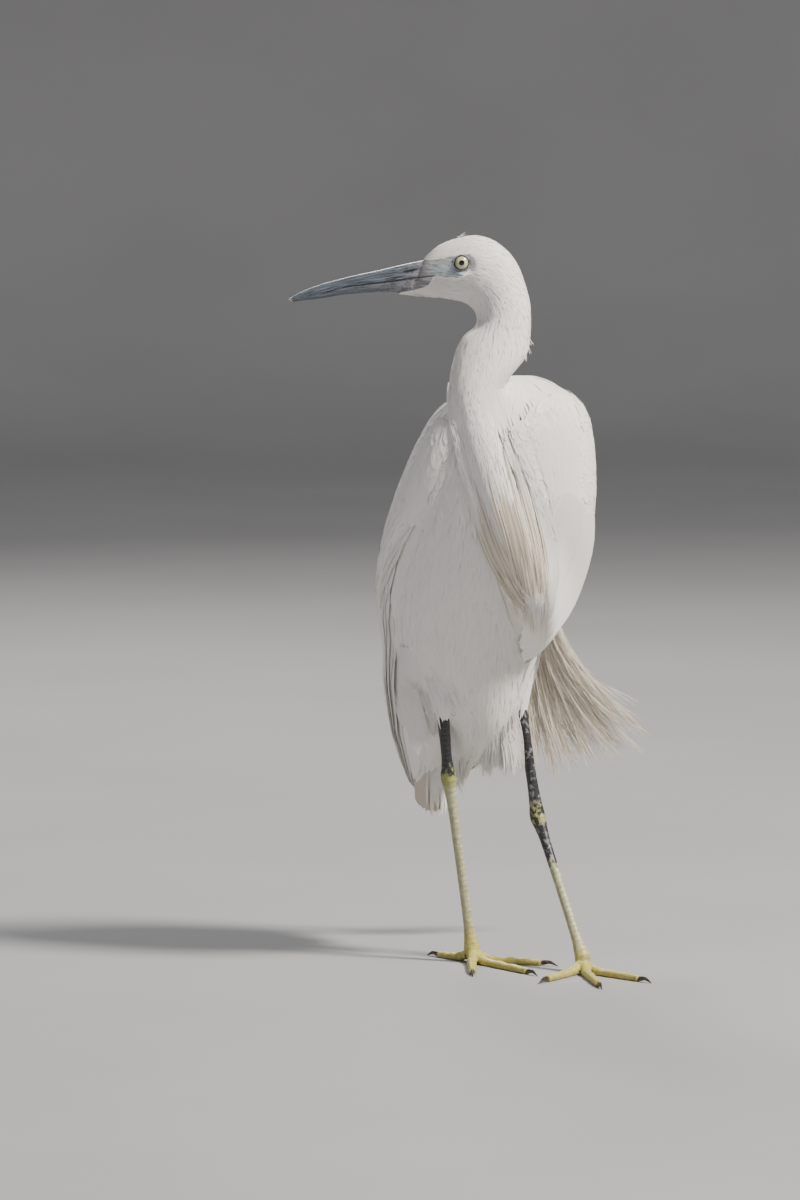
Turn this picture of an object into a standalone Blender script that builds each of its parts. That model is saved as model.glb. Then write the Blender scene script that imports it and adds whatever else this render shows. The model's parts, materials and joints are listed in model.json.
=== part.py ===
"""Little egret, life size, standing upright with its head turned to its right.

The body faces -Y, its right side is -X and the floor is z = 0. Sizes are in millimetres.
The head and neck lie in an upright plane turned from the body's own front.
"""

import math

import bmesh
import bpy
from mathutils import Vector

MM = 0.001
GAP = 0.35
WING_GAP = 0.8
CENTRE_X = 12.5
CENTRE_Y = -23.1

HEAD_PLANE_TURN = math.radians(-30)
HEAD_PLACE = (-16.7, 24.0, 436.5)

EYE_RADIUS = 5.6
EYE_OUT = 8.2
EYE_PLACE = (0.0, 0.6)

TRUNK_SIDES = 26
TRUNK_LEVELS = 22
NECK_SIDES = 16
NECK_RINGS = 54
HEAD_RINGS = 18
TUBE_SIDES = 8

TOE_START = 4.6
TOE_RADIUS = 3.1
TOE_TIP_RADIUS = 2.2
TOE_AXIS_HEIGHT = 1.85
HUB_HEIGHT = 9.5
CLAW_LENGTH = 11.0

BREAST_PLUMES = 5
TIP_STEPS = 3

WHITE = (0.86, 0.84, 0.80)
CREAM = (0.84, 0.77, 0.66)
SLATE = (0.06, 0.07, 0.08)
IRIS = (0.78, 0.76, 0.52)
BLACK_SKIN = (0.04, 0.045, 0.04)
LEG_GREEN = (0.50, 0.47, 0.28)
FOOT_YELLOW = (0.60, 0.54, 0.20)
HORN = (0.07, 0.06, 0.05)

# Each row: top across, top up, low across, low up, out of the plane, half breadth.
HEAD_ROWS = [
    (-24.7, 1.2, -32.7, -19.2, 0.0, 5.2),
    (-19.1, 7.1, -27.8, -20.1, 0.0, 7.4),
    (-13.0, 11.8, -20.4, -21.1, 0.0, 9.0),
    (-4.0, 15.5, -9.9, -22.9, 0.0, 11.4),
    (6.8, 18.3, -1.2, -24.5, 0.0, 13.6),
    (17.3, 16.4, 4.3, -27.6, 0.0, 15.6),
    (27.1, 10.2, 7.4, -31.0, 0.0, 16.3),
    (34.6, 1.2, 8.6, -34.7, 0.4, 16.6),
    (39.8, -11.2, 8.3, -37.5, 1.0, 16.6),
]
NECK_ROWS = [
    (42.9, -24.2, 7.6, -38.6, 1.6, 16.6),
    (43.5, -35.0, 4.8, -40.4, 2.6, 16.6),
    (43.2, -43.4, -0.2, -44.6, 4.0, 16.8),
    (42.3, -52.1, -4.5, -53.0, 6.5, 17.0),
    (38.5, -60.4, -7.3, -62.6, 9.0, 17.0),
    (31.0, -68.6, -8.5, -72.0, 11.5, 17.0),
    (24.8, -79.4, -8.9, -81.0, 13.0, 17.2),
    (26.5, -89.2, -8.3, -90.6, 14.0, 17.8),
    (31.5, -103.9, -5.6, -106.3, 16.0, 19.0),
    (37.6, -123.4, -0.6, -127.1, 18.0, 20.0),
    (45.0, -146.2, 6.2, -151.8, 18.5, 21.0),
    (52.4, -171.1, 14.8, -177.9, 16.0, 21.0),
    (57.6, -197.7, 24.1, -204.5, 8.0, 19.0),
    (58.1, -219.4, 34.9, -226.8, -3.0, 13.0),
    (52.0, -238.0, 42.0, -241.0, -14.0, 5.0),
]

# Each row: height, middle in X and in Y, half width, half depth.
TRUNK_ROWS = [
    (368.0, 8.5, -19.0, 7.0, 5.0),
    (365.5, 8.0, -19.0, 20.0, 14.0),
    (358.0, 6.5, -19.0, 33.0, 25.0),
    (349.0, 5.5, -18.0, 41.5, 33.0),
    (335.0, 5.0, -16.0, 48.0, 39.5),
    (315.0, 4.0, -13.0, 52.0, 45.0),
    (295.0, 3.0, -9.0, 54.5, 50.0),
    (275.0, 2.0, -3.0, 55.5, 53.0),
    (255.0, 1.0, 4.0, 55.0, 54.0),
    (235.0, 0.0, 11.0, 53.0, 53.0),
    (215.0, 0.0, 17.0, 49.5, 50.5),
    (195.0, 0.0, 21.5, 44.0, 46.5),
    (175.0, 1.0, 24.0, 36.5, 41.0),
    (158.0, 2.5, 25.0, 29.0, 35.0),
    (144.0, 4.0, 27.0, 22.5, 29.5),
    (131.0, 4.0, 31.0, 16.0, 22.5),
    (121.0, 3.0, 36.0, 9.0, 14.0),
]
WING_BED_ROWS = [
    (185.0, 0.0, 34.0, 43.5, 38.0),
    (165.0, 0.0, 45.0, 37.5, 26.0),
    (140.0, 0.0, 54.5, 29.5, 20.0),
    (120.0, 0.0, 61.0, 21.0, 13.0),
    (100.0, 0.0, 66.0, 13.0, 7.5),
]
WING_BED_FROM = 215.0
WING_BED_TO = 172.0
WING_EDGE = 0.9
WING_CROWN = 0.55

# Each row: height, front edge and back edge in degrees round from the breast, thickness.
RIGHT_WING_ROWS = [
    (354.0, 70.0, 116.0, 1.6),
    (346.0, 66.0, 130.0, 3.6),
    (332.0, 66.0, 141.0, 5.6),
    (312.0, 73.0, 149.0, 8.0),
    (288.0, 83.0, 156.0, 9.8),
    (262.0, 95.0, 163.0, 10.6),
    (238.0, 104.0, 169.0, 10.6),
    (214.0, 109.0, 174.0, 9.8),
    (190.0, 108.0, 178.0, 7.6),
    (165.0, 104.0, 179.0, 5.5),
    (140.0, 106.0, 179.0, 4.5),
    (120.0, 112.0, 178.0, 3.4),
    (101.0, 134.0, 172.0, 1.8),
]
LEFT_WING_ROWS = [
    (358.0, 62.0, 112.0, 1.6),
    (350.0, 48.0, 128.0, 4.0),
    (335.0, 40.0, 140.0, 4.4),
    (312.0, 36.0, 149.0, 4.6),
    (288.0, 34.0, 156.0, 5.2),
    (262.0, 35.0, 163.0, 6.6),
    (240.0, 42.0, 169.0, 7.4),
    (222.0, 58.0, 173.0, 7.5),
    (205.0, 80.0, 176.0, 7.0),
    (185.0, 96.0, 178.0, 6.5),
    (165.0, 104.0, 179.0, 5.5),
    (140.0, 106.0, 179.0, 4.5),
    (120.0, 112.0, 178.0, 3.4),
    (101.0, 134.0, 172.0, 1.8),
]
WING_LEVELS = 22
WING_ARC_STEPS = 9


def catmull(before, start, end, after, share):
    """Value a share of the way from start to end on a smooth curve."""
    square = share * share
    cube = square * share
    return 0.5 * (
        2 * start
        + (end - before) * share
        + (2 * before - 5 * start + 4 * end - after) * square
        + (3 * start - before - 3 * end + after) * cube
    )


def smooth_rows(rows, count):
    """Rows resampled to a count along a smooth curve through them."""
    last = len(rows) - 1
    found = []
    for step in range(count):
        place = last * step / (count - 1)
        index = min(int(place), last - 1)
        around = [rows[min(max(index + k, 0), last)] for k in (-1, 0, 1, 2)]
        share = place - index
        found.append(tuple(catmull(*values, share) for values in zip(*around)))
    return found


def row_at(rows, height):
    """Row of a table at a height, rows going down, straight between its rows."""
    for upper, lower in zip(rows, rows[1:]):
        if upper[0] >= height >= lower[0]:
            share = (upper[0] - height) / (upper[0] - lower[0])
            return [a + (b - a) * share for a, b in zip(upper, lower)]
    return list(rows[0] if height > rows[0][0] else rows[-1])


def in_plane(across, out, up):
    """World point, in mm, given across, out of and up the plane of the head and neck."""
    c = math.cos(HEAD_PLANE_TURN)
    s = math.sin(HEAD_PLANE_TURN)
    return Vector((c * across + s * out, s * across - c * out, up))


def material(name, colour, roughness):
    """Principled finish with one colour and roughness."""
    finish = bpy.data.materials.new(name)
    finish.use_nodes = True
    shader = finish.node_tree.nodes["Principled BSDF"]
    shader.inputs["Base Color"].default_value = (*colour, 1.0)
    shader.inputs["Roughness"].default_value = roughness
    shader.inputs["Metallic"].default_value = 0.0
    return finish


def new_object(name, mesh_builder, colour, roughness):
    """Object whose mesh comes from a bmesh in mm, with its origin at the floor's centre."""
    mesh_builder.normal_update()
    bmesh.ops.recalc_face_normals(mesh_builder, faces=mesh_builder.faces)
    shift = Vector((CENTRE_X, CENTRE_Y, 0.0))
    for vertex in mesh_builder.verts:
        vertex.co = (vertex.co - shift) * MM
    mesh = bpy.data.meshes.new(name)
    mesh_builder.to_mesh(mesh)
    mesh_builder.free()
    made = bpy.data.objects.new(name, mesh)
    bpy.context.scene.collection.objects.link(made)
    mesh.materials.append(material(name + "_finish", colour, roughness))
    mesh.shade_smooth()
    mesh.set_sharp_from_angle(angle=math.radians(40))
    return made


def loft(name, rings, colour, roughness=0.8, strip_ends=False):
    """Closed solid through rings of equal count.

    Each end closes to its middle, or on a crescent straight across from outside to inside.
    """
    builder = bmesh.new()
    loops = [[builder.verts.new(point) for point in ring] for ring in rings]
    count = len(rings[0])
    for upper, lower in zip(loops, loops[1:]):
        for i in range(count):
            j = (i + 1) % count
            builder.faces.new((upper[i], upper[j], lower[j], lower[i]))
    for loop in (loops[0], loops[-1]):
        if strip_ends:
            for i in range(count // 2 - 1):
                builder.faces.new((loop[i], loop[i + 1], loop[count - 2 - i], loop[count - 1 - i]))
            continue
        middle = sum((v.co for v in loop), Vector()) / count
        centre = builder.verts.new(middle)
        for i in range(count):
            builder.faces.new((loop[i], loop[(i + 1) % count], centre))
    return new_object(name, builder, colour, roughness)


def oval(centre, first, second, count, offset=0.0):
    """Ring of points round a centre on two half axes, started a share of a step round."""
    points = []
    for i in range(count):
        angle = 2 * math.pi * (i + offset) / count
        points.append(centre + first * math.cos(angle) + second * math.sin(angle))
    return points


def cut(target, cutter):
    """Takes a hidden cutter's space away from an object."""
    cutter.hide_render = True
    cutter.display_type = "WIRE"
    boolean = target.modifiers.new("cut_" + cutter.name, "BOOLEAN")
    boolean.operation = "DIFFERENCE"
    boolean.solver = "EXACT"
    boolean.object = cutter


def profile_rings(rows, count, sides, grow=0.0):
    """Rings between an upper and a lower outline in the plane of the head and neck."""
    rings = []
    place_u, place_w, place_z = HEAD_PLACE
    for top_u, top_z, low_u, low_z, out, breadth in smooth_rows(rows, count):
        w = place_w + out
        top = in_plane(place_u + top_u, w, place_z + top_z)
        low = in_plane(place_u + low_u, w, place_z + low_z)
        half = (top - low) / 2
        sideways = in_plane(0, breadth + grow, 0)
        rings.append(oval((top + low) / 2, half + half.normalized() * grow, sideways, sides))
    return rings


def shifted(rings, amount):
    """Rings moved along the run from the first to the second by an amount."""
    first = sum(rings[0], Vector()) / len(rings[0])
    second = sum(rings[1], Vector()) / len(rings[1])
    step = (second - first).normalized() * amount
    return [[point + step for point in rings[0]], *rings[1:]]


def trunk_levels(grow=0.0):
    """Trunk sections from the shoulders to the vent, each a height, middle and half sizes."""
    rows = smooth_rows(TRUNK_ROWS, TRUNK_LEVELS)
    return [(z, x, y, a + grow, b + grow) for z, x, y, a, b in rows]


def trunk_rings(grow=0.0):
    """Level rings of the trunk."""
    rings = []
    for z, x, y, a, b in trunk_levels(grow):
        middle = Vector((x, y, z))
        rings.append(oval(middle, Vector((0, -b, 0)), Vector((a, 0, 0)), TRUNK_SIDES))
    if grow:
        rings[0] = [point + Vector((0, 0, grow)) for point in rings[0]]
        rings[-1] = [point - Vector((0, 0, grow)) for point in rings[-1]]
    return rings


def wing_bed(height):
    """Middle and half sizes of the surface a wing lies on at a height."""
    trunk = row_at(trunk_levels(WING_GAP), height)[1:]
    if height >= WING_BED_FROM:
        return trunk
    low = row_at(WING_BED_ROWS, height)[1:]
    share = min((WING_BED_FROM - height) / (WING_BED_FROM - WING_BED_TO), 1.0)
    share = share * share * (3 - 2 * share)
    return [a + (b - a) * share for a, b in zip(trunk, low)]


def round_body(side, degrees, height, lift):
    """Point round the body, from the breast at 0 to the back at 180 degrees."""
    x, y, a, b = wing_bed(height)
    angle = math.radians(degrees)
    x += side * (a + lift) * math.sin(angle)
    return Vector((x, y - (b + lift) * math.cos(angle), height))


def wing_lift(share, thickness):
    """Thickness of a wing a share of the way from its front edge to its back edge."""
    crown = math.sin(math.pi * share) ** WING_CROWN
    return WING_EDGE + max(thickness - WING_EDGE, 0.0) * crown


def wing(name, side, rows):
    """Folded wing: a shell that lies on the trunk, thick in its middle and thin at its edges."""
    rings = []
    for height, front, back, thickness in smooth_rows(rows, WING_LEVELS):
        shares = [k / WING_ARC_STEPS for k in range(WING_ARC_STEPS + 1)]
        outer = []
        inner = []
        for share in shares:
            degrees = front + (back - front) * share
            lift = wing_lift(share, thickness)
            outer.append(round_body(side, degrees, height, lift))
            inner.append(round_body(side, degrees, height, 0.0))
        rings.append(outer + inner[::-1])
    return loft(name, rings, WHITE, strip_ends=True)


def tube_rings(stations, sides, floor_cut=False):
    """Rings square to a path; each station is a point and the ring's half width and height."""
    rings = []
    for i, (point, wide, high) in enumerate(stations):
        ahead = stations[min(i + 1, len(stations) - 1)][0]
        behind = stations[max(i - 1, 0)][0]
        along = (ahead - behind).normalized()
        guide = Vector((0, 0, 1)) if abs(along.z) < 0.8 else Vector((0, -1, 0))
        sideways = along.cross(guide).normalized()
        upward = sideways.cross(along).normalized()
        ring = oval(point, upward * high, sideways * wide, sides, 0.5 if floor_cut else 0.0)
        if floor_cut:
            ring = [Vector((p.x, p.y, max(p.z, 0.0))) for p in ring]
        rings.append(ring)
    return rings


def bezier(start, first, second, end, share):
    """Point on a cubic curve."""
    rest = 1 - share
    return (
        start * rest**3
        + first * 3 * rest**2 * share
        + second * 3 * rest * share**2
        + end * share**3
    )


# Bill
BILL_ROWS = [
    # culmen across, up; mouth line across, up; lower outline across, up; half breadth
    (-25.3, 1.1, -29.2, -8.9, -33.5, -18.9, 5.1),
    (-37.6, -1.5, -38.2, -10.6, -38.8, -18.7, 4.9),
    (-49.4, -4.3, -49.4, -11.8, -49.6, -18.3, 4.3),
    (-69.1, -8.7, -69.4, -14.6, -69.6, -19.6, 3.3),
    (-87.0, -13.6, -87.2, -18.4, -87.6, -22.2, 2.3),
    (-98.2, -18.0, -98.6, -21.4, -99.0, -23.6, 1.4),
    (-105.4, -21.9, -105.6, -22.9, -103.6, -24.0, 0.55),
]
BILL_STEPS = 11
BILL_SIDES = 10
BILL_LEAST_HEIGHT = 0.5
MOUTH_GAP = 0.18


def mandible(name, upper):
    """One half of the bill, rounded outside and flat where it meets the other half."""
    rings = []
    place_u, place_w, place_z = HEAD_PLACE
    for row in smooth_rows(BILL_ROWS, BILL_STEPS):
        culmen, mouth, lower = row[0:2], row[2:4], row[4:6]
        outer = culmen if upper else lower
        clear = MOUTH_GAP if upper else -MOUTH_GAP
        base = Vector((place_u + mouth[0], place_z + mouth[1] + clear))
        rim = Vector((place_u + outer[0], place_z + outer[1]))
        if upper:
            rim.y = max(rim.y, base.y + BILL_LEAST_HEIGHT)
        else:
            rim.y = min(rim.y, base.y - BILL_LEAST_HEIGHT)
        ring = []
        for i in range(BILL_SIDES):
            angle = math.pi * i / (BILL_SIDES - 1)
            rise = math.sin(angle)
            spot = base + (rim - base) * rise
            ring.append(in_plane(spot.x, place_w + row[6] * math.cos(angle), spot.y))
        rings.append(ring)
    return loft(name, rings, SLATE, 0.35)


# Legs
RIGHT_LEG = {
    "hip": (-22.0, 12.0, 196.0),
    "knee": (-26.5, 10.0, 158.0),
    "ankle": (-18.0, 17.5, 117.0),
    "hub": (-3.5, 13.5, HUB_HEIGHT),
    "heading": -4.0,
}
LEFT_LEG = {
    "hip": (25.0, 8.0, 200.0),
    "knee": (24.5, 3.0, 164.0),
    "ankle": (30.2, -9.5, 92.0),
    "hub": (33.5, -58.0, HUB_HEIGHT),
    "heading": 22.0,
}
# Each row: name, degrees outward from the foot's heading, length without the claw.
TOES = [
    ("middle", 0.0, 60.0),
    ("outer", 34.0, 50.0),
    ("inner", -38.0, 45.0),
    ("hallux", 172.0, 30.0),
]
TOE_SHARES = (0.0, 0.10, 0.2, 0.34, 0.48, 0.62, 0.76, 0.9, 1.0)
TOE_DROP_LENGTH = 15.0
TOE_DROP_HEIGHT = HUB_HEIGHT - 3.2 - TOE_AXIS_HEIGHT
JOINT_SWELL = 1.1
JOINT_WAIST = 0.94
# Each row: share of the way from one joint to the next, half width, half height.
THIGH_ROWS = [
    (-0.3, 15.0, 14.0),
    (0.0, 14.0, 13.5),
    (0.5, 11.5, 12.0),
    (0.85, 8.8, 9.4),
    (1.0, 6.8, 7.2),
]
THIGH_END = (0.1, 5.0, 5.3)
SHANK_ROWS = [(0.35, 3.4, 3.9), (0.7, 3.2, 3.7), (0.9, 4.0, 4.4)]
SHANK_START_SIZE = (3.9, 4.4)
SHANK_END = (3.0, 4.6, 4.9)
TARSUS_ROWS = [(0.2, 3.0, 3.4), (0.55, 2.8, 3.2), (0.85, 3.1, 3.4)]
# The same, but each starts with millimetres below the ankle.
ANKLE_ROWS = [(2 * GAP - 3.0, 4.5, 4.8), (2.0, 4.8, 5.2), (8.0, 3.8, 4.3)]
HUB_RISE = 6.0
HUB_FALL = 4.0
LEG_SIDES = 12
CLAW_SIDES = 6
CLAW_STEPS = 4
CLAW_ARCH = 1.2
CLAW_BOW = 1.9
CLAW_SIZE = 1.75
CLAW_POINT = 0.3


def mixed(first, second, share):
    """Point a share of the way between two."""
    return first + (second - first) * share


def grown(stations):
    """Stations of a tube made wider and higher by the gap between parts."""
    return [(point, wide + GAP, high + GAP) for point, wide, high in stations]


def leg(side_name, outward, joints, body_cutters):
    """Feathered thigh, bare shank, tarsus with its ankle, four toes and their claws."""
    hip, knee, ankle, hub = (Vector(joints[k]) for k in ("hip", "knee", "ankle", "hub"))
    thigh_stations = [(mixed(hip, knee, share), *size) for share, *size in THIGH_ROWS]
    thigh_end = mixed(knee, ankle, THIGH_END[0])
    thigh_stations.append((thigh_end, *THIGH_END[1:]))
    thigh = loft("thigh_" + side_name, tube_rings(thigh_stations, LEG_SIDES), WHITE)
    for cutter in body_cutters:
        cut(thigh, cutter)
    back_up = (knee - ankle).normalized()
    shank = [
        (thigh_end - back_up * GAP, *SHANK_START_SIZE),
        *((mixed(knee, ankle, share), *size) for share, *size in SHANK_ROWS),
        (ankle + back_up * SHANK_END[0], *SHANK_END[1:]),
    ]
    shank_solid = loft("shank_" + side_name, tube_rings(shank, TUBE_SIDES), BLACK_SKIN, 0.5)
    for cutter in body_cutters:
        cut(shank_solid, cutter)
    shank_end, wide, high = shank[-1]
    past_end = (shank_end - back_up * GAP, wide, high)
    shank_cutter = loft(
        "shank_clearance_" + side_name, tube_rings(grown([*shank[:-1], past_end]), TUBE_SIDES), BLACK_SKIN
    )
    down = (hub - ankle).normalized()
    tarsus = [
        *((ankle + down * length, *size) for length, *size in ANKLE_ROWS),
        *((mixed(ankle, hub, share), *size) for share, *size in TARSUS_ROWS),
        (hub - down * HUB_RISE, 4.0, 4.2),
        (hub, 5.0, 5.0),
        (hub - Vector((0, 0, HUB_FALL)), 4.6, 4.4),
    ]
    tarsus_solid = loft("tarsus_" + side_name, tube_rings(tarsus, LEG_SIDES), LEG_GREEN, 0.5)
    cut(tarsus_solid, shank_cutter)
    hub_cutter = loft("hub_clearance_" + side_name, tube_rings(grown(tarsus), LEG_SIDES), LEG_GREEN)
    middle_cutter = None
    for toe_name, spread, length in TOES:
        turn = math.radians(joints["heading"] + spread * outward)
        ahead = Vector((-math.sin(turn), -math.cos(turn), 0.0))
        stations = toe_stations(hub, ahead, length)
        name = f"{toe_name}_{side_name}"
        solid = loft("toe_" + name, tube_rings(stations, TUBE_SIDES, True), FOOT_YELLOW, 0.5)
        cut(solid, hub_cutter)
        if toe_name == "middle":
            middle_cutter = loft(
                "middle_clearance_" + side_name, tube_rings(grown(stations), TUBE_SIDES), HORN
            )
        elif toe_name != "hallux":
            cut(solid, middle_cutter)
        claw(name, hub, ahead, length)


def toe_stations(hub, ahead, length):
    """Stations of one toe, from beside the hub to its tip along the floor."""
    ground = Vector((hub.x, hub.y, 0.0))
    stations = []
    for k, share in enumerate(TOE_SHARES):
        along = TOE_START + (length - TOE_START) * share
        drop = max(0.0, 1.0 - along / TOE_DROP_LENGTH)
        height = TOE_AXIS_HEIGHT + TOE_DROP_HEIGHT * drop**1.3
        radius = TOE_RADIUS + (TOE_TIP_RADIUS - TOE_RADIUS) * share
        radius *= JOINT_SWELL if k % 2 == 0 else JOINT_WAIST
        place = ground + ahead * along + Vector((0, 0, height))
        stations.append((place, radius * (0.85 if k == 0 else 1.0), radius))
    return stations


def claw(name, hub, ahead, length):
    """Arched claw just past a toe's tip."""
    start = Vector((hub.x, hub.y, TOE_AXIS_HEIGHT)) + ahead * (length + GAP)
    stations = []
    for k in range(CLAW_STEPS + 1):
        share = k / CLAW_STEPS
        arch = CLAW_ARCH * math.sin(math.pi * share) ** 2 - CLAW_BOW * share * share
        size = CLAW_SIZE * (1 - share) ** 0.8 + CLAW_POINT
        spot = start + ahead * (CLAW_LENGTH * share) + Vector((0, 0, arch))
        stations.append((spot, size * 0.8, size))
    loft("claw_" + name, tube_rings(stations, CLAW_SIDES, True), HORN, 0.3)


def blade(name, path, wide, thick, facing, colour):
    """Long plume: a flat tapering strip along a path, its flat side towards a direction."""
    rings = []
    for i, point in enumerate(path):
        share = i / (len(path) - 1)
        ahead = path[min(i + 1, len(path) - 1)]
        behind = path[max(i - 1, 0)]
        along = (ahead - behind).normalized()
        sideways = along.cross(facing).normalized()
        out = sideways.cross(along).normalized()
        taper = min(1.0, 0.45 + 2.2 * share) * (1 - share**2.2) + 0.12
        half = max(thick * (1 - 0.6 * share), 0.5) / 2
        rings.append(oval(point, sideways * wide * taper / 2, out * half, 6))
    return loft(name, rings, colour)


def comb(name, root, tips, joined, thick, facing, sag, colour):
    """Sheet of plumes: joined from their roots to a share of their length, then in points.

    root gives the two ends of the root line, tips the end of each plume, joined the
    share of the length that is one sheet and its steps, and sag the way each plume
    leaves its root.
    """
    count = len(tips)
    split, steps = joined
    builder = bmesh.new()

    def path_point(k, share):
        across = k / (count - 1)
        start = mixed(root[0], root[1], across)
        end = tips[k]
        reach = (end - start).length
        first = start + sag * reach * 0.25
        second = mixed(start, end, 0.6) + Vector((0, 0, -0.1 * reach))
        return bezier(start, first, second, end, share)

    def edge_point(k, share):
        low = max(k - 1, 0)
        high = min(k, count - 1)
        if low == high:
            other = 1 if k == 0 else count - 2
            return path_point(low, share) * 1.5 - path_point(other, share) * 0.5
        return (path_point(low, share) + path_point(high, share)) / 2

    def pair(point, share):
        half = facing * max(thick * (1 - 0.62 * share), 0.55) / 2
        return builder.verts.new(point + half), builder.verts.new(point - half)

    rows = []
    for step in range(steps + 1):
        share = split * step / steps
        rows.append([pair(edge_point(k, share), share) for k in range(count + 1)])
    for upper, lower in zip(rows, rows[1:]):
        for k in range(count):
            for layer in (0, 1):
                corners = (upper[k], upper[k + 1], lower[k + 1], lower[k])
                builder.faces.new([corner[layer] for corner in corners])
        for k in (0, count):
            builder.faces.new((upper[k][0], upper[k][1], lower[k][1], lower[k][0]))
    for k in range(count):
        first, second = rows[0][k], rows[0][k + 1]
        builder.faces.new((first[0], second[0], second[1], first[1]))
    for k in range(count):
        left, right = rows[-1][k], rows[-1][k + 1]
        for step in range(1, TIP_STEPS + 1):
            share = split + (1 - split) * step / TIP_STEPS
            spot = path_point(k, share)
            taper = (1 - step / TIP_STEPS) ** 1.1 * 0.42 + 0.03
            wide = (edge_point(k + 1, split) - edge_point(k, split)) * taper
            new_left = pair(spot - wide, share)
            new_right = pair(spot + wide, share)
            for layer in (0, 1):
                builder.faces.new(
                    (left[layer], right[layer], new_right[layer], new_left[layer])
                )
            for a, b in ((left, new_left), (right, new_right)):
                builder.faces.new((a[0], a[1], b[1], b[0]))
            left, right = new_left, new_right
        builder.faces.new((left[0], right[0], right[1], left[1]))
    return new_object(name, builder, colour, 0.8)


def head(rings):
    """Head with a socket on each side, an eye in each, and the two halves of the bill."""
    skull = loft("head", rings, WHITE)
    place_u, place_w, place_z = HEAD_PLACE
    for side_name, side in (("left", 1), ("right", -1)):
        middle = in_plane(
            place_u + EYE_PLACE[0], place_w + side * EYE_OUT, place_z + EYE_PLACE[1]
        )
        for label, radius in (("eye_", EYE_RADIUS), ("socket_", EYE_RADIUS + GAP)):
            builder = bmesh.new()
            bmesh.ops.create_icosphere(builder, subdivisions=2, radius=radius)
            for vertex in builder.verts:
                vertex.co = vertex.co + middle
            ball = new_object(label + side_name, builder, IRIS, 0.15)
            if label == "socket_":
                cut(skull, ball)
    mandible("bill_upper", True)
    mandible("bill_lower", False)


# Each pair: at the tail's root, at its tip.
TAIL_HEIGHTS = (168.0, 86.5)
TAIL_HALF_WIDTHS = (10.5, 16.0)
TAIL_BACK = (60.6, 67.2)
TAIL_THICK = (3.4, 1.6)
TAIL_FEATHERS = 6
TAIL_STEPS = 5
TAIL_CURVE = 1.8
TAIL_END_RISE = 7.0
TAIL_END_NOTCH = 2.2


def tail():
    """Folded tail: a flat fan of overlapping feathers with stepped ends."""
    builder = bmesh.new()
    rows = []
    for step in range(TAIL_STEPS + 1):
        share = step / TAIL_STEPS
        half, top_z, back_y, thick = (
            mixed(*pair, share) for pair in (TAIL_HALF_WIDTHS, TAIL_HEIGHTS, TAIL_BACK, TAIL_THICK)
        )
        row = []
        for k in range(TAIL_FEATHERS + 1):
            across = 2 * k / TAIL_FEATHERS - 1
            z = top_z
            if step == TAIL_STEPS:
                z += TAIL_END_RISE * abs(across) ** 1.6 + (TAIL_END_NOTCH if k % 2 else 0.0)
            y = back_y - TAIL_CURVE * across * across
            x = half * across
            back = builder.verts.new((x, y + thick / 2, z))
            front = builder.verts.new((x, y - thick / 2, z))
            row.append((back, front))
        rows.append(row)
    for upper, lower in zip(rows, rows[1:]):
        for k in range(TAIL_FEATHERS):
            for layer in (0, 1):
                corners = (upper[k], upper[k + 1], lower[k + 1], lower[k])
                builder.faces.new([corner[layer] for corner in corners])
        for k in (0, TAIL_FEATHERS):
            builder.faces.new((upper[k][0], upper[k][1], lower[k][1], lower[k][0]))
    for row in (rows[0], rows[-1]):
        for k in range(TAIL_FEATHERS):
            first, second = row[k], row[k + 1]
            builder.faces.new((first[0], second[0], second[1], first[1]))
    return new_object("tail", builder, WHITE, 0.8)


def back_plumes():
    """Fine plumes of the back, blown out behind the left wing."""
    tips = [
        in_plane(28.5, -80.0, 124.8),
        in_plane(38.0, -84.0, 116.7),
        in_plane(46.8, -88.0, 107.4),
        in_plane(56.3, -90.0, 116.2),
        in_plane(65.1, -93.0, 119.7),
        in_plane(74.6, -96.0, 121.3),
        in_plane(83.5, -98.0, 121.1),
        in_plane(89.8, -100.0, 123.4),
        in_plane(97.4, -101.0, 127.8),
        in_plane(100.5, -101.0, 132.9),
        in_plane(106.9, -101.0, 139.9),
    ]
    root = (Vector((10.0, 76.6, 214.0)), Vector((31.0, 71.0, 247.0)))
    facing = Vector((0.25, 1.0, 0.0)).normalized()
    sag = Vector((0.36, 0.06, -0.93)).normalized()
    return comb("back_plumes", root, tips, (0.55, 6), 2.4, facing, sag, CREAM)


def breast_plumes():
    """Long narrow plumes of the lower neck, lying down the breast."""
    facing = in_plane(0, 1, 0.25).normalized()
    for k in range(BREAST_PLUMES):
        start = in_plane(6.0 + 4.4 * k, 67.5 - 0.4 * k, 288.0 - 3.0 * k)
        first = in_plane(13.0 + 4.6 * k, 68.5, 262.0)
        second = in_plane(13.0 + 6.2 * k, 57.0, 232.0)
        end = in_plane(14.0 + 6.4 * k, 26.0 - 1.5 * k, 193.0 + 2.5 * k)
        path = [bezier(start, first, second, end, step / 7) for step in range(8)]
        blade(f"breast_plume_{k + 1}", path, 3.6, 1.2, facing, CREAM)


def belly_fringe():
    """Loose feather points that hang from the belly between the legs."""
    tips = []
    for k in range(7):
        step = 3.5 if k % 2 else 0.0
        tips.append(Vector((-8.0 + 5.0 * k, 2.5 - 0.9 * k, 116.5 + step)))
    root = (Vector((-5.0, -12.6, 160.0)), Vector((14.0, -11.6, 160.0)))
    facing = Vector((0.0, -1.0, -0.2)).normalized()
    sag = Vector((0.0, 0.30, -1.0)).normalized()
    return comb("belly_fringe", root, tips, (0.45, 3), 1.8, facing, sag, WHITE)


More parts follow.
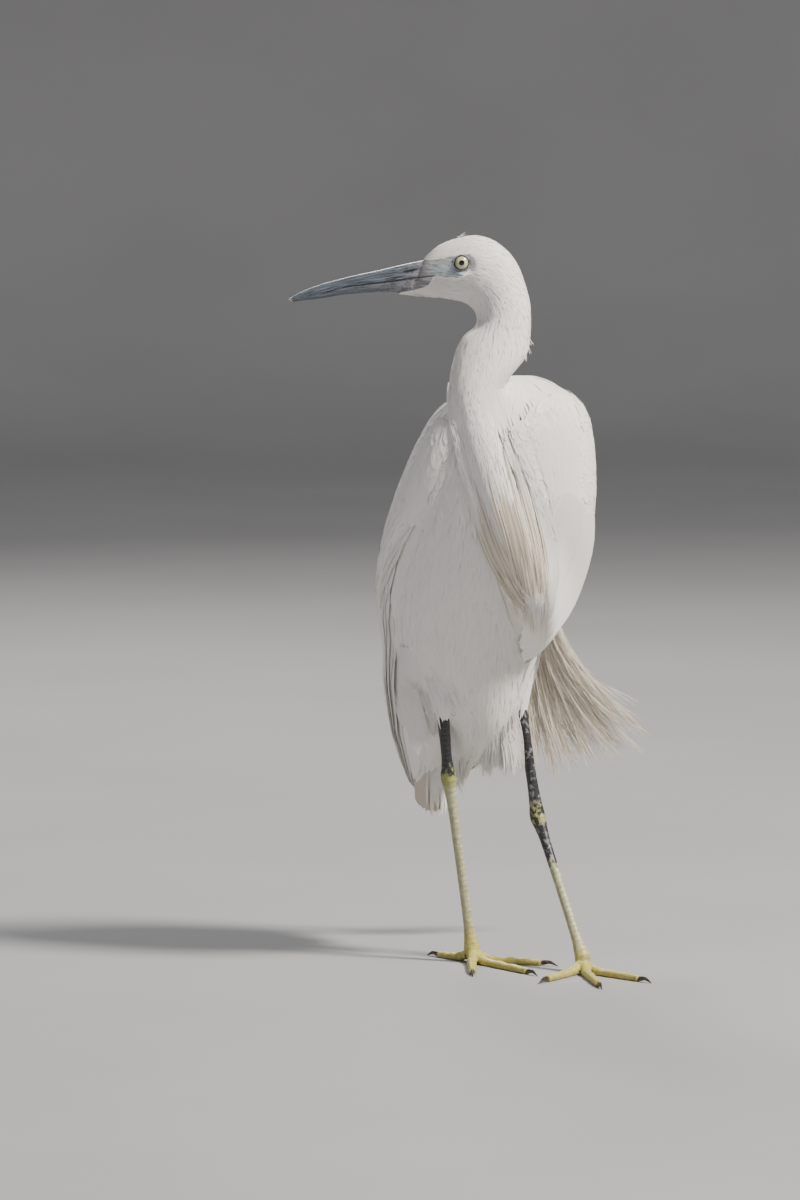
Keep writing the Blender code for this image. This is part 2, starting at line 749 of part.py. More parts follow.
def build():
    """Makes every piece of the bird."""
    for old in list(bpy.data.objects):
        bpy.data.objects.remove(old, do_unlink=True)
    head_and_neck = profile_rings(HEAD_ROWS + NECK_ROWS, NECK_RINGS, NECK_SIDES)
    grown = profile_rings(HEAD_ROWS + NECK_ROWS, NECK_RINGS, NECK_SIDES, GAP)
    head(head_and_neck[: HEAD_RINGS + 1])
    neck = loft("neck", shifted(head_and_neck[HEAD_RINGS:], GAP), WHITE)
    neck_cutter = loft("neck_clearance", grown[HEAD_RINGS:], WHITE)
    loft("trunk", trunk_rings(), WHITE)
    trunk_cutter = loft("trunk_clearance", trunk_rings(GAP), WHITE)
    cut(neck, trunk_cutter)
    for side_name, side, rows in (("right", -1, RIGHT_WING_ROWS), ("left", 1, LEFT_WING_ROWS)):
        shell = wing("wing_" + side_name, side, rows)
        cut(shell, neck_cutter)
        cut(shell, trunk_cutter)
    cut(tail(), trunk_cutter)
    leg("right", 1, RIGHT_LEG, [trunk_cutter])
    leg("left", -1, LEFT_LEG, [trunk_cutter])
    back_plumes()
    breast_plumes()
    belly_fringe()


build()
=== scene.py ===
"""Looks of a standing little egret: skin, coat, plumes, bill, eyes, legs and claws.

Sizes in the tables are millimetres in the model's own frame, before it was centred;
world() turns them into metres. The head and neck lie in an upright plane, where a place
is given across, out of and up that plane, from the middle of the eyes.
"""

import sys

import json
import logging
import math
from dataclasses import dataclass, field
from enum import Enum

import bmesh
import bpy
import numpy as np
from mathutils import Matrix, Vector
from mathutils.bvhtree import BVHTree

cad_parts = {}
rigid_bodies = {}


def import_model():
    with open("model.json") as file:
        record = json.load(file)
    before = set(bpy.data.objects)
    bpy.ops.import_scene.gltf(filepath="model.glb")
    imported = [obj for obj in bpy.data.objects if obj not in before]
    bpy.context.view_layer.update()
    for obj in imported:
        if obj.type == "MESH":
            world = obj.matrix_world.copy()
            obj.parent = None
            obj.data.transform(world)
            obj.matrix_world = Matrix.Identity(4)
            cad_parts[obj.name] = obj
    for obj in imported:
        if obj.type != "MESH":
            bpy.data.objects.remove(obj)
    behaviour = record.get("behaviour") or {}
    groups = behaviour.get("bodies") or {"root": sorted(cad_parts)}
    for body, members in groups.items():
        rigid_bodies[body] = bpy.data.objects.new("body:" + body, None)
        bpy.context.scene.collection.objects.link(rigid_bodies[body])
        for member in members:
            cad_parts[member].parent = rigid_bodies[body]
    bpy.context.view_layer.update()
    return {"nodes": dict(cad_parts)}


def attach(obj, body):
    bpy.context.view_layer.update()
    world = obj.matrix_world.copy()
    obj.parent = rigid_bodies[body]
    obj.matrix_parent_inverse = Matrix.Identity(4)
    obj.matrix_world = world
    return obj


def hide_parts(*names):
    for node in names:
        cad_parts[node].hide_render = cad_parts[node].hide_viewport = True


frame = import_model()
LOG = logging.getLogger("egret")

MM = 0.001
CENTRE = (12.5, -23.1, 0.0)
PLANE_TURN = math.radians(-30)
HEAD_PLACE = (-16.7, 24.0, 436.5)
BAKE_MAP = "OFBake"
BAKE_PATCH = 0.003
TUFT_DATA = "tuft"
# How far apart vanes are in the barb noise; where a line of sight starts from; the height
# below which the folded wings are left to their feathers.
VANE_STEP = 97.0
VIEW_REACH = 0.2
WING_CUT = 0.168

# Each row: top across, top up, low across, low up, out of the plane, half breadth.
HEAD_ROWS = [
    (-24.7, 1.2, -32.7, -19.2, 0.0, 5.2),
    (-19.1, 7.1, -27.8, -20.1, 0.0, 7.4),
    (-13.0, 11.8, -20.4, -21.1, 0.0, 9.0),
    (-4.0, 15.5, -9.9, -22.9, 0.0, 11.4),
    (6.8, 18.3, -1.2, -24.5, 0.0, 13.6),
    (17.3, 16.4, 4.3, -27.6, 0.0, 15.6),
    (27.1, 10.2, 7.4, -31.0, 0.0, 16.3),
    (34.6, 1.2, 8.6, -34.7, 0.4, 16.6),
    (39.8, -11.2, 8.3, -37.5, 1.0, 16.6),
    (42.9, -24.2, 7.6, -38.6, 1.6, 16.6),
    (43.5, -35.0, 4.8, -40.4, 2.6, 16.6),
    (43.2, -43.4, -0.2, -44.6, 4.0, 16.8),
    (42.3, -52.1, -4.5, -53.0, 6.5, 17.0),
    (38.5, -60.4, -7.3, -62.6, 9.0, 17.0),
    (31.0, -68.6, -8.5, -72.0, 11.5, 17.0),
    (24.8, -79.4, -8.9, -81.0, 13.0, 17.2),
    (26.5, -89.2, -8.3, -90.6, 14.0, 17.8),
    (31.5, -103.9, -5.6, -106.3, 16.0, 19.0),
    (37.6, -123.4, -0.6, -127.1, 18.0, 20.0),
    (45.0, -146.2, 6.2, -151.8, 18.5, 21.0),
    (52.4, -171.1, 14.8, -177.9, 16.0, 21.0),
    (57.6, -197.7, 24.1, -204.5, 8.0, 19.0),
    (58.1, -219.4, 34.9, -226.8, -3.0, 13.0),
    (52.0, -238.0, 42.0, -241.0, -14.0, 5.0),
]
# Each row: height, middle in X and in Y, half width, half depth.
TRUNK_ROWS = [
    (368.0, 8.5, -19.0, 7.0, 5.0),
    (365.5, 8.0, -19.0, 20.0, 14.0),
    (358.0, 6.5, -19.0, 33.0, 25.0),
    (349.0, 5.5, -18.0, 41.5, 33.0),
    (335.0, 5.0, -16.0, 48.0, 39.5),
    (315.0, 4.0, -13.0, 52.0, 45.0),
    (295.0, 3.0, -9.0, 54.5, 50.0),
    (275.0, 2.0, -3.0, 55.5, 53.0),
    (255.0, 1.0, 4.0, 55.0, 54.0),
    (235.0, 0.0, 11.0, 53.0, 53.0),
    (215.0, 0.0, 17.0, 49.5, 50.5),
    (195.0, 0.0, 21.5, 44.0, 46.5),
    (175.0, 1.0, 24.0, 36.5, 41.0),
    (158.0, 2.5, 25.0, 29.0, 35.0),
    (144.0, 4.0, 27.0, 22.5, 29.5),
    (131.0, 4.0, 31.0, 16.0, 22.5),
    (121.0, 3.0, 36.0, 9.0, 14.0),
]
# The same for the surface that the folded wings lie on behind the trunk.
WING_BED_ROWS = [
    (185.0, 0.0, 34.0, 43.5, 38.0),
    (165.0, 0.0, 45.0, 37.5, 26.0),
    (140.0, 0.0, 54.5, 29.5, 20.0),
    (120.0, 0.0, 61.0, 21.0, 13.0),
    (100.0, 0.0, 66.0, 13.0, 7.5),
]
# Each row: height, front edge and back edge in degrees round from the breast, thickness.
WING_ROWS = {
    "right": [
        (354.0, 70.0, 116.0, 1.6),
        (346.0, 66.0, 130.0, 3.6),
        (332.0, 66.0, 141.0, 5.6),
        (312.0, 73.0, 149.0, 8.0),
        (288.0, 83.0, 156.0, 9.8),
        (262.0, 95.0, 163.0, 10.6),
        (238.0, 104.0, 169.0, 10.6),
        (214.0, 109.0, 174.0, 9.8),
        (190.0, 108.0, 178.0, 7.6),
        (165.0, 104.0, 179.0, 5.5),
        (140.0, 106.0, 179.0, 4.5),
        (120.0, 112.0, 178.0, 3.4),
        (101.0, 134.0, 172.0, 1.8),
    ],
    "left": [
        (358.0, 62.0, 112.0, 1.6),
        (350.0, 48.0, 128.0, 4.0),
        (335.0, 40.0, 140.0, 4.4),
        (312.0, 36.0, 149.0, 4.6),
        (288.0, 34.0, 156.0, 5.2),
        (262.0, 35.0, 163.0, 6.6),
        (240.0, 42.0, 169.0, 7.4),
        (222.0, 58.0, 173.0, 7.5),
        (205.0, 80.0, 176.0, 7.0),
        (185.0, 96.0, 178.0, 6.5),
        (165.0, 104.0, 179.0, 5.5),
        (140.0, 106.0, 179.0, 4.5),
        (120.0, 112.0, 178.0, 3.4),
        (101.0, 134.0, 172.0, 1.8),
    ],
}
# Height and degrees of the line from which the left wing's coverts show beside the neck.
COVERT_FRONT = [
    (358.0, 36.0), (350.0, -8.0), (335.0, -28.0), (312.0, -16.0), (288.0, -6.0), (262.0, 5.0),
    (240.0, 12.0), (222.0, 20.0), (205.0, 50.0), (185.0, 90.0), (165.0, 104.0), (101.0, 134.0),
]
# Each row: culmen across, up; mouth line across, up; lower outline across, up; half breadth.
BILL_ROWS = [
    (-20.5, 1.6, -24.0, -7.9, -29.5, -19.0, 4.2),
    (-25.3, 1.1, -29.2, -8.9, -33.5, -18.9, 5.1),
    (-37.6, -1.5, -38.2, -10.6, -38.8, -18.7, 4.9),
    (-49.4, -4.3, -49.4, -11.8, -49.6, -18.3, 4.3),
    (-69.1, -8.7, -69.4, -14.6, -69.6, -19.6, 3.3),
    (-87.0, -13.6, -87.2, -18.4, -87.6, -22.2, 2.3),
    (-98.2, -18.0, -98.6, -21.4, -99.0, -23.6, 1.4),
    (-105.4, -21.9, -105.6, -22.9, -103.6, -24.0, 0.55),
]
# The left leg's black shank carries pale patches of painted sheen.
LEGS = {
    "right": {
        "knee": (-26.5, 10.0, 158.0), "ankle": (-18.0, 17.5, 117.0), "hub": (-3.5, 13.5, 9.5),
        "heading": -4.0, "outward": 1, "black_to": -3.0, "hub_at": 109.0, "mottled_sheen": 0.0,
    },
    "left": {
        "knee": (24.5, 3.0, 164.0), "ankle": (30.2, -9.5, 92.0), "hub": (33.5, -58.0, 9.5),
        "heading": 22.0, "outward": -1, "black_to": 33.0, "hub_at": 103.0, "mottled_sheen": 0.8,
    },
}
# Each row: name, degrees outward from the foot's heading, length without the claw.
TOES = [("middle", 0.0, 60.0), ("outer", 34.0, 50.0), ("inner", -38.0, 45.0), ("hallux", 172.0, 30.0)]


def world(x: float, y: float, z: float) -> Vector:
    """Place in metres of a point in the model's own millimetres.

    Args:
        x, y, z: The point in millimetres.

    Returns:
        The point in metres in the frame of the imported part.
    """
    return Vector((x - CENTRE[0], y - CENTRE[1], z)) * MM


def worlds(x: np.ndarray, y: np.ndarray, z: np.ndarray) -> np.ndarray:
    """Places in metres of arrays of points in the model's own millimetres."""
    return np.stack([x - CENTRE[0], y - CENTRE[1], z], axis=-1) * MM


def in_plane(across: float, out: float, up: float) -> Vector:
    """Place in metres of a point given in the plane of the head and neck.

    Args:
        across: Millimetres across the plane, towards the nape.
        out: Millimetres out of the plane, towards the bird's left.
        up: Millimetres above the floor.

    Returns:
        The point in metres.
    """
    c, s = math.cos(PLANE_TURN), math.sin(PLANE_TURN)
    return world(c * across + s * out, s * across - c * out, up)


def by_head(across: float, out: float, up: float) -> Vector:
    """Place in metres of a point given from the middle of the eyes.

    Args:
        across: Millimetres across from the eyes, negative towards the bill.
        out: Millimetres out of the head's plane.
        up: Millimetres above the eyes.

    Returns:
        The point in metres.
    """
    return in_plane(HEAD_PLACE[0] + across, HEAD_PLACE[1] + out, HEAD_PLACE[2] + up)


ACROSS = (in_plane(1, 0, 0) - in_plane(0, 0, 0)).normalized()
OUTWARD = (in_plane(0, 1, 0) - in_plane(0, 0, 0)).normalized()
UPWARD = Vector((0.0, 0.0, 1.0))
TILT = math.radians(5.5)
TOWARDS = OUTWARD * math.cos(TILT) + UPWARD * math.sin(TILT)


def smooth_table(rows: list, count: int) -> np.ndarray:
    """Rows resampled along a smooth curve through them.

    Args:
        rows: Equal rows of numbers.
        count: How many rows to make.

    Returns:
        An array of that many rows.
    """
    table = np.array(rows, float)
    place = np.linspace(0, len(table) - 1, count)
    index = np.minimum(place.astype(int), len(table) - 2)
    share = (place - index)[:, None]
    before, start, end, after = (
        table[np.clip(index + k, 0, len(table) - 1)] for k in (-1, 0, 1, 2)
    )
    return 0.5 * (
        2 * start
        + (end - before) * share
        + (2 * before - 5 * start + 4 * end - after) * share**2
        + (3 * start - before - 3 * end + after) * share**3
    )


def unit(vectors: np.ndarray) -> np.ndarray:
    """Vectors along the last axis scaled to length one."""
    return vectors / np.maximum(np.linalg.norm(vectors, axis=-1, keepdims=True), 1e-12)


def flat_against(vectors: np.ndarray, normals: np.ndarray) -> np.ndarray:
    """Unit vectors laid into the planes that the normals stand on."""
    return unit(vectors - normals * (vectors * normals).sum(-1, keepdims=True))


def step_between(low: float, high: float, values: np.ndarray) -> np.ndarray:
    """Smooth rise from 0 at low to 1 at high."""
    share = np.clip((values - low) / (high - low), 0.0, 1.0)
    return share * share * (3 - 2 * share)


class Nodes:
    """A node tree with short calls that add and join its nodes."""

    def __init__(self, tree: bpy.types.NodeTree) -> None:
        """Keeps the tree."""
        self.tree = tree

    def add(self, kind: str, values: dict | None = None, **settings: object) -> bpy.types.Node:
        """Adds a node.

        Args:
            kind: The node's type name.
            values: Input names or places, each with a value or a socket to join.
            settings: Properties of the node.

        Returns:
            The node.
        """
        node = self.tree.nodes.new(kind)
        for key, value in settings.items():
            setattr(node, key, value)
        for key, value in (values or {}).items():
            if isinstance(value, bpy.types.NodeSocket):
                self.tree.links.new(value, node.inputs[key])
            else:
                node.inputs[key].default_value = value
        return node

    def maths(self, operation: str, *values: object) -> bpy.types.NodeSocket:
        """Result of a Math node on numbers or sockets."""
        node = self.add("ShaderNodeMath", dict(enumerate(values)), operation=operation)
        return node.outputs[0]

    def times(self, first: object, second: object) -> bpy.types.NodeSocket:
        """Product of two numbers or sockets."""
        return self.maths("MULTIPLY", first, second)

    def plus(self, first: object, second: object) -> bpy.types.NodeSocket:
        """Sum of two numbers or sockets."""
        return self.maths("ADD", first, second)

    def minus(self, first: object, second: object) -> bpy.types.NodeSocket:
        """Difference of two numbers or sockets."""
        return self.maths("SUBTRACT", first, second)

    def mix(self, share: object, first: object, second: object) -> bpy.types.NodeSocket:
        """Colour mixed from two colours or sockets by a share."""
        node = self.add("ShaderNodeMix", data_type="RGBA", clamp_factor=True)
        for place, value in ((0, share), (6, first), (7, second)):
            if isinstance(value, bpy.types.NodeSocket):
                self.tree.links.new(value, node.inputs[place])
            else:
                node.inputs[place].default_value = value
        return node.outputs[2]

    def smooth(self, value: bpy.types.NodeSocket, low: float, high: float) -> bpy.types.NodeSocket:
        """Share that rises smoothly from 0 at low to 1 at high."""
        limits = {"Value": value, "From Min": low, "From Max": high}
        return self.add("ShaderNodeMapRange", limits, interpolation_type="SMOOTHSTEP").outputs["Result"]

    def blend(
        self, value: bpy.types.NodeSocket, low: float, high: float, first: object, second: object,
        most: float = 1.0,
    ) -> bpy.types.NodeSocket:
        """Colour that turns from one into another as a value goes from low to high.

        Args:
            value: The socket that is read.
            low, high: Its values at the start and the end of the change.
            first, second: The colours or sockets.
            most: Share of the second colour at the end.

        Returns:
            The colour's socket.
        """
        share = self.smooth(value, low, high)
        return self.mix(share if most == 1.0 else self.times(share, most), first, second)

    def place(self, *parts: object) -> bpy.types.NodeSocket:
        """Vector of up to three numbers or sockets."""
        return self.add("ShaderNodeCombineXYZ", dict(enumerate(parts))).outputs[0]

    def paint(self, shader: bpy.types.Node, colour: bpy.types.NodeSocket) -> None:
        """Joins a colour to a shader."""
        self.tree.links.new(colour, shader.inputs["Base Color"])

    def noise(
        self, vector: bpy.types.NodeSocket, scale: float, detail: float = 3.0
    ) -> bpy.types.NodeSocket:
        """Value of a noise texture."""
        node = self.add("ShaderNodeTexNoise", {"Vector": vector, "Scale": scale, "Detail": detail})
        return node.outputs["Fac"]

    def objects(self) -> bpy.types.NodeSocket:
        """The piece's own Object coordinates."""
        return self.add("ShaderNodeTexCoord").outputs["Object"]

    def data(self, name: str) -> bpy.types.Node:
        """Separated parts of a vector attribute."""
        read = self.add("ShaderNodeAttribute", attribute_name=name)
        return self.add("ShaderNodeSeparateXYZ", {"Vector": read.outputs["Vector"]})


def rgb(red: float, green: float, blue: float) -> tuple:
    """Colour with full alpha."""
    return (red, green, blue, 1.0)


def new_group(name: str, inputs: dict, outputs: dict) -> Nodes:
    """Starts a shader node group.

    Args:
        name: The group's name.
        inputs: Input names, each with its default number.
        outputs: Output names, each with its socket type.

    Returns:
        The group's nodes; its ends are the nodes named Group Input and Group Output.
    """
    tree = bpy.data.node_groups.new(name, "ShaderNodeTree")
    for label, value in inputs.items():
        socket = tree.interface.new_socket(label, in_out="INPUT", socket_type="NodeSocketFloat")
        socket.default_value = value
    for label, kind in outputs.items():
        tree.interface.new_socket(label, in_out="OUTPUT", socket_type=kind)
    tree.nodes.new("NodeGroupInput")
    tree.nodes.new("NodeGroupOutput")
    return Nodes(tree)


def barb_group() -> bpy.types.NodeTree:
    """Group that draws the barbs of a vane from its tuft data.

    Returns:
        The group, with outputs Streak, Along, Chance and Across.
    """
    made = bpy.data.node_groups.get("feather_barbs")
    if made:
        return made
    kinds = dict.fromkeys(("Streak", "Along", "Chance", "Across"), "NodeSocketFloat")
    inner = new_group("feather_barbs", {"Lines": 9.0, "Reach": 1.5, "Slant": 0.0}, kinds)
    start = inner.tree.nodes["Group Input"]
    end = inner.tree.nodes["Group Output"]
    parts = inner.data(TUFT_DATA)
    chance, along, across = parts.outputs[0], parts.outputs[1], parts.outputs[2]
    lengthwise = inner.minus(along, inner.times(inner.maths("ABSOLUTE", across), start.outputs["Slant"]))
    place = inner.place(
        inner.times(across, start.outputs["Lines"]),
        inner.times(lengthwise, start.outputs["Reach"]),
        inner.times(chance, VANE_STEP),
    )
    streak = inner.noise(place, 1.0, 2.0)
    for label, socket in zip(kinds, (streak, along, chance, across)):
        inner.tree.links.new(socket, end.inputs[label])
    return inner.tree


def mottle_group() -> bpy.types.NodeTree:
    """Group of soft mottling on Object coordinates.

    Returns:
        The group, with outputs Patches, Grain and Cells.
    """
    made = bpy.data.node_groups.get("skin_mottle")
    if made:
        return made
    kinds = dict.fromkeys(("Patches", "Grain", "Cells"), "NodeSocketFloat")
    inner = new_group("skin_mottle", {"Patch": 300.0, "Grain": 2500.0, "Cell": 1200.0}, kinds)
    start = inner.tree.nodes["Group Input"]
    end = inner.tree.nodes["Group Output"]
    place = inner.objects()
    for label, source, detail in (("Patches", "Patch", 3.0), ("Grain", "Grain", 2.0)):
        node = inner.add(
            "ShaderNodeTexNoise",
            {"Vector": place, "Scale": start.outputs[source], "Detail": detail},
        )
        inner.tree.links.new(node.outputs["Fac"], end.inputs[label])
    cells = inner.add(
        "ShaderNodeTexVoronoi",
        {"Vector": place, "Scale": start.outputs["Cell"]},
        feature="DISTANCE_TO_EDGE",
    )
    inner.tree.links.new(cells.outputs["Distance"], end.inputs["Cells"])
    return inner.tree


def use_group(nodes: Nodes, tree: bpy.types.NodeTree, **values: float) -> bpy.types.Node:
    """Places a group in a material with its own values."""
    return nodes.add("ShaderNodeGroup", values, node_tree=tree)


def new_finish(
    name: str, roughness: float, **shine: float
) -> tuple[bpy.types.Material, Nodes, bpy.types.Node]:
    """Starts a material.

    Args:
        name: The material's name.
        roughness: Its roughness where nothing is joined to it.
        shine: Other numbers set on the shader, with spaces written as underscores.

    Returns:
        The material, its nodes and its shader.
    """
    made = bpy.data.materials.new(name)
    made.use_nodes = True
    shader = made.node_tree.nodes["Principled BSDF"]
    shader.inputs["Roughness"].default_value = roughness
    for key, value in shine.items():
        shader.inputs[key.replace("_", " ")].default_value = value
    return made, Nodes(made.node_tree), shader


def bump(nodes: Nodes, shader: bpy.types.Node, height: object, distance: float, strength: float) -> None:
    """Joins a height to a shader's normal.

    Args:
        nodes: The material's nodes.
        shader: The shader.
        height: The socket that gives the height.
        distance: How deep the relief is, in metres.
        strength: How much of it shows.
    """
    made = nodes.add("ShaderNodeBump", {"Strength": strength, "Distance": distance, "Height": height})
    nodes.tree.links.new(made.outputs["Normal"], shader.inputs["Normal"])


@dataclass(frozen=True)
class FeatherFinish:
    """White or cream feather with fine barbs.

    Depth is how much its root takes the root's colour, fleck how much the barbs are
    streaked with the shade, and varied how much some feathers are shaded as a whole.
    The default root colour is painted shade, where the feathers above cover the roots.
    """

    name: str
    body: tuple = rgb(0.87, 0.84, 0.80)
    shade: tuple = rgb(0.77, 0.74, 0.70)
    tip: tuple = rgb(0.89, 0.865, 0.825)
    # Painted shade at the roots, which the feathers above cover.
    root: tuple = rgb(0.77, 0.74, 0.70)
    lines: float = 5.0
    reach: float = 1.5
    slant: float = 0.0
    relief: float = 0.00006
    depth: float = 0.5
    fleck: float = 0.35
    varied: float = 0.25

    def make(self) -> bpy.types.Material:
        """Builds the material."""
        made, nodes, shader = new_finish(
            self.name, 0.62, Sheen_Weight=0.12, Sheen_Roughness=0.4, Specular_IOR_Level=0.3
        )
        barbs = use_group(nodes, barb_group(), Lines=self.lines, Reach=self.reach, Slant=self.slant).outputs
        lit = nodes.blend(barbs["Along"], 0.5, 1.0, self.body, self.tip)
        # Towards the root: painted shade where the root colour is darker; the cream plumes' lighter root is
        # their own colour.
        lit = nodes.blend(barbs["Along"], 0.60, 0.05, lit, self.root, self.depth)
        lit = nodes.blend(barbs["Streak"], 0.50, 0.70, lit, self.shade, self.fleck)
        lit = nodes.blend(barbs["Chance"], 0.4, 1.0, lit, self.shade, self.varied)
        nodes.paint(shader, lit)
        bump(nodes, shader, barbs["Streak"], self.relief, 0.6)
        return made


@dataclass(frozen=True)
class SkinFinish:
    """White down under the coat, with bare blue-grey skin where the skin's data says so,
    and painted shade in the gape's crease behind the bill.
    """

    name: str = "under_coat_and_lores"
    down: tuple = rgb(0.80, 0.785, 0.765)
    light_down: tuple = rgb(0.86, 0.85, 0.83)
    blue: tuple = rgb(0.30, 0.355, 0.385)
    pale: tuple = rgb(0.46, 0.50, 0.515)
    dusk: tuple = rgb(0.15, 0.165, 0.175)
    horn: tuple = rgb(0.27, 0.245, 0.255)
    olive: tuple = rgb(0.34, 0.34, 0.29)
    # Painted shade: near black in the gape's crease.
    crease: tuple = rgb(0.03, 0.032, 0.036)

    def make(self) -> bpy.types.Material:
        """Builds the material. The place by the head is in millimetres across, out and up."""
        made, nodes, shader = new_finish(self.name, 0.55, Specular_IOR_Level=0.35)
        parts = nodes.data("bare")
        spot = nodes.data("by_head")
        across, up = spot.outputs[0], spot.outputs[2]
        mottle = use_group(nodes, mottle_group(), Patch=420.0, Grain=2600.0, Cell=2600.0).outputs
        slope = nodes.plus(nodes.times(up, 0.95), nodes.times(across, 0.1))
        wrinkle = nodes.noise(nodes.place(nodes.times(across, 0.16), slope), 1.0, 4.0)
        leather = nodes.blend(mottle["Patches"], 0.40, 0.66, self.blue, self.pale)
        leather = nodes.blend(across, -14.0, -24.0, leather, self.horn)
        above = nodes.times(nodes.smooth(up, -2.2, 2.0), nodes.smooth(across, -2.0, -10.0))
        leather = nodes.mix(nodes.times(above, 0.75), leather, self.olive)
        leather = nodes.blend(wrinkle, 0.50, 0.66, leather, self.dusk, 0.8)
        leather = nodes.blend(nodes.times(wrinkle, -1.0), -0.42, -0.34, leather, self.pale)
        feathery = nodes.blend(mottle["Grain"], 0.35, 0.75, self.down, self.light_down)
        edge = nodes.plus(parts.outputs[0], nodes.times(nodes.minus(wrinkle, 0.5), 0.9))
        colour = nodes.blend(edge, 0.2, 0.8, feathery, leather)
        # Painted shade in the crease behind the bill.
        colour = nodes.mix(nodes.times(parts.outputs[1], 0.9), colour, self.crease)
        nodes.paint(shader, colour)
        bump(nodes, shader, wrinkle, 0.0003, 0.4)
        return made


@dataclass(frozen=True)
class BillFinish:
    """Slate horn with lengthwise streaks, a paler base, a pale tip, and painted shade
    in its grooves, its nostril slit and along its mouth edge.
    """

    name: str
    dark: tuple = rgb(0.035, 0.042, 0.052)
    # Light streaks: partly the horn's own streaking, partly painted highlight of blue-grey reflections.
    light: tuple = rgb(0.17, 0.20, 0.24)
    base: tuple = rgb(0.25, 0.24, 0.255)
    tip: tuple = rgb(0.42, 0.42, 0.42)
    # Painted shade in the grooves, the nostril slit and along the mouth edge.
    groove_shade: tuple = rgb(0.008, 0.009, 0.011)
    base_share: float = 0.6

    def make(self) -> bpy.types.Material:
        """Builds the material. Its data is (share along, height share, groove), the last being the painted
        shade of the grooves.
        """
        made, nodes, shader = new_finish(
            self.name, 0.34, Specular_IOR_Level=0.5, Coat_Weight=0.15, Coat_Roughness=0.25
        )
        parts = nodes.data("horn")
        along, height, groove = parts.outputs[0], parts.outputs[1], parts.outputs[2]
        streak = nodes.noise(nodes.place(nodes.times(along, 5.0), nodes.times(height, 9.0)), 1.6, 4.0)
        fine = use_group(nodes, mottle_group(), Patch=420.0, Grain=2200.0, Cell=2000.0).outputs
        # Lengthwise streaks; their light parts are partly painted highlight of blue-grey reflections.
        colour = nodes.blend(streak, 0.40, 0.66, self.dark, self.light)
        worn = nodes.times(
            nodes.smooth(along, self.base_share, 0.0), nodes.smooth(fine["Patches"], 0.30, 0.62)
        )
        colour = nodes.mix(worn, colour, self.base)
        colour = nodes.blend(along, 0.93, 1.0, colour, self.tip)
        # Painted shade into the grooves, the nostril slit and the mouth edge.
        colour = nodes.mix(nodes.times(groove, 0.9), colour, self.groove_shade)
        nodes.paint(shader, colour)
        rough = nodes.smooth(fine["Grain"], 0.2, 1.6)
        nodes.tree.links.new(nodes.plus(rough, 0.22), shader.inputs["Roughness"])
        bump(nodes, shader, streak, 0.00025, 0.35)
        return made


@dataclass(frozen=True)
class EyeFinish:
    """Pale yellow iris with fine rays, a black pupil and a dark rim, under a clear coat.

    Its data is the distance from the eye's axis in millimetres and the turn round it.
    """

    name: str = "eye_iris"
    iris: tuple = rgb(0.50, 0.485, 0.27)
    inner: tuple = rgb(0.62, 0.61, 0.40)
    ray: tuple = rgb(0.32, 0.31, 0.15)
    rim: tuple = rgb(0.012, 0.011, 0.010)
    pupil: tuple = rgb(0.003, 0.003, 0.003)
    pupil_radius: float = 1.7
    iris_radius: float = 3.85

    def make(self) -> bpy.types.Material:
        """Builds the material."""
        made, nodes, shader = new_finish(
            self.name, 0.30, Specular_IOR_Level=0.5, Coat_Weight=1.0, Coat_Roughness=0.02
        )
        parts = nodes.data("gaze")
        radius = parts.outputs[0]
        turn = nodes.place(nodes.times(parts.outputs[1], 9.0), nodes.times(parts.outputs[2], 9.0))
        rays = nodes.noise(turn, 2.0, 4.0)
        pupil, iris = self.pupil_radius, self.iris_radius
        colour = nodes.blend(radius, iris, pupil, self.iris, self.inner)
        colour = nodes.blend(rays, 0.45, 0.75, colour, self.ray, 0.5)
        colour = nodes.blend(radius, iris - 0.18, iris + 0.12, colour, self.rim)
        colour = nodes.blend(radius, pupil + 0.15, pupil - 0.1, colour, self.pupil)
        nodes.paint(shader, colour)
        return made


@dataclass(frozen=True)
class LidFinish:
    """Thin blue-grey eyelid."""

    name: str = "eyelid_skin"
    dark: tuple = rgb(0.16, 0.19, 0.21)
    light: tuple = rgb(0.36, 0.40, 0.41)

    def make(self) -> bpy.types.Material:
        """Builds the material."""
        made, nodes, shader = new_finish(self.name, 0.45, Specular_IOR_Level=0.4)
        mottle = use_group(nodes, mottle_group(), Patch=700.0, Grain=3000.0, Cell=2600.0).outputs
        nodes.paint(shader, nodes.blend(mottle["Patches"], 0.35, 0.65, self.dark, self.light))
        bump(nodes, shader, mottle["Grain"], 0.00008, 0.5)
        return made


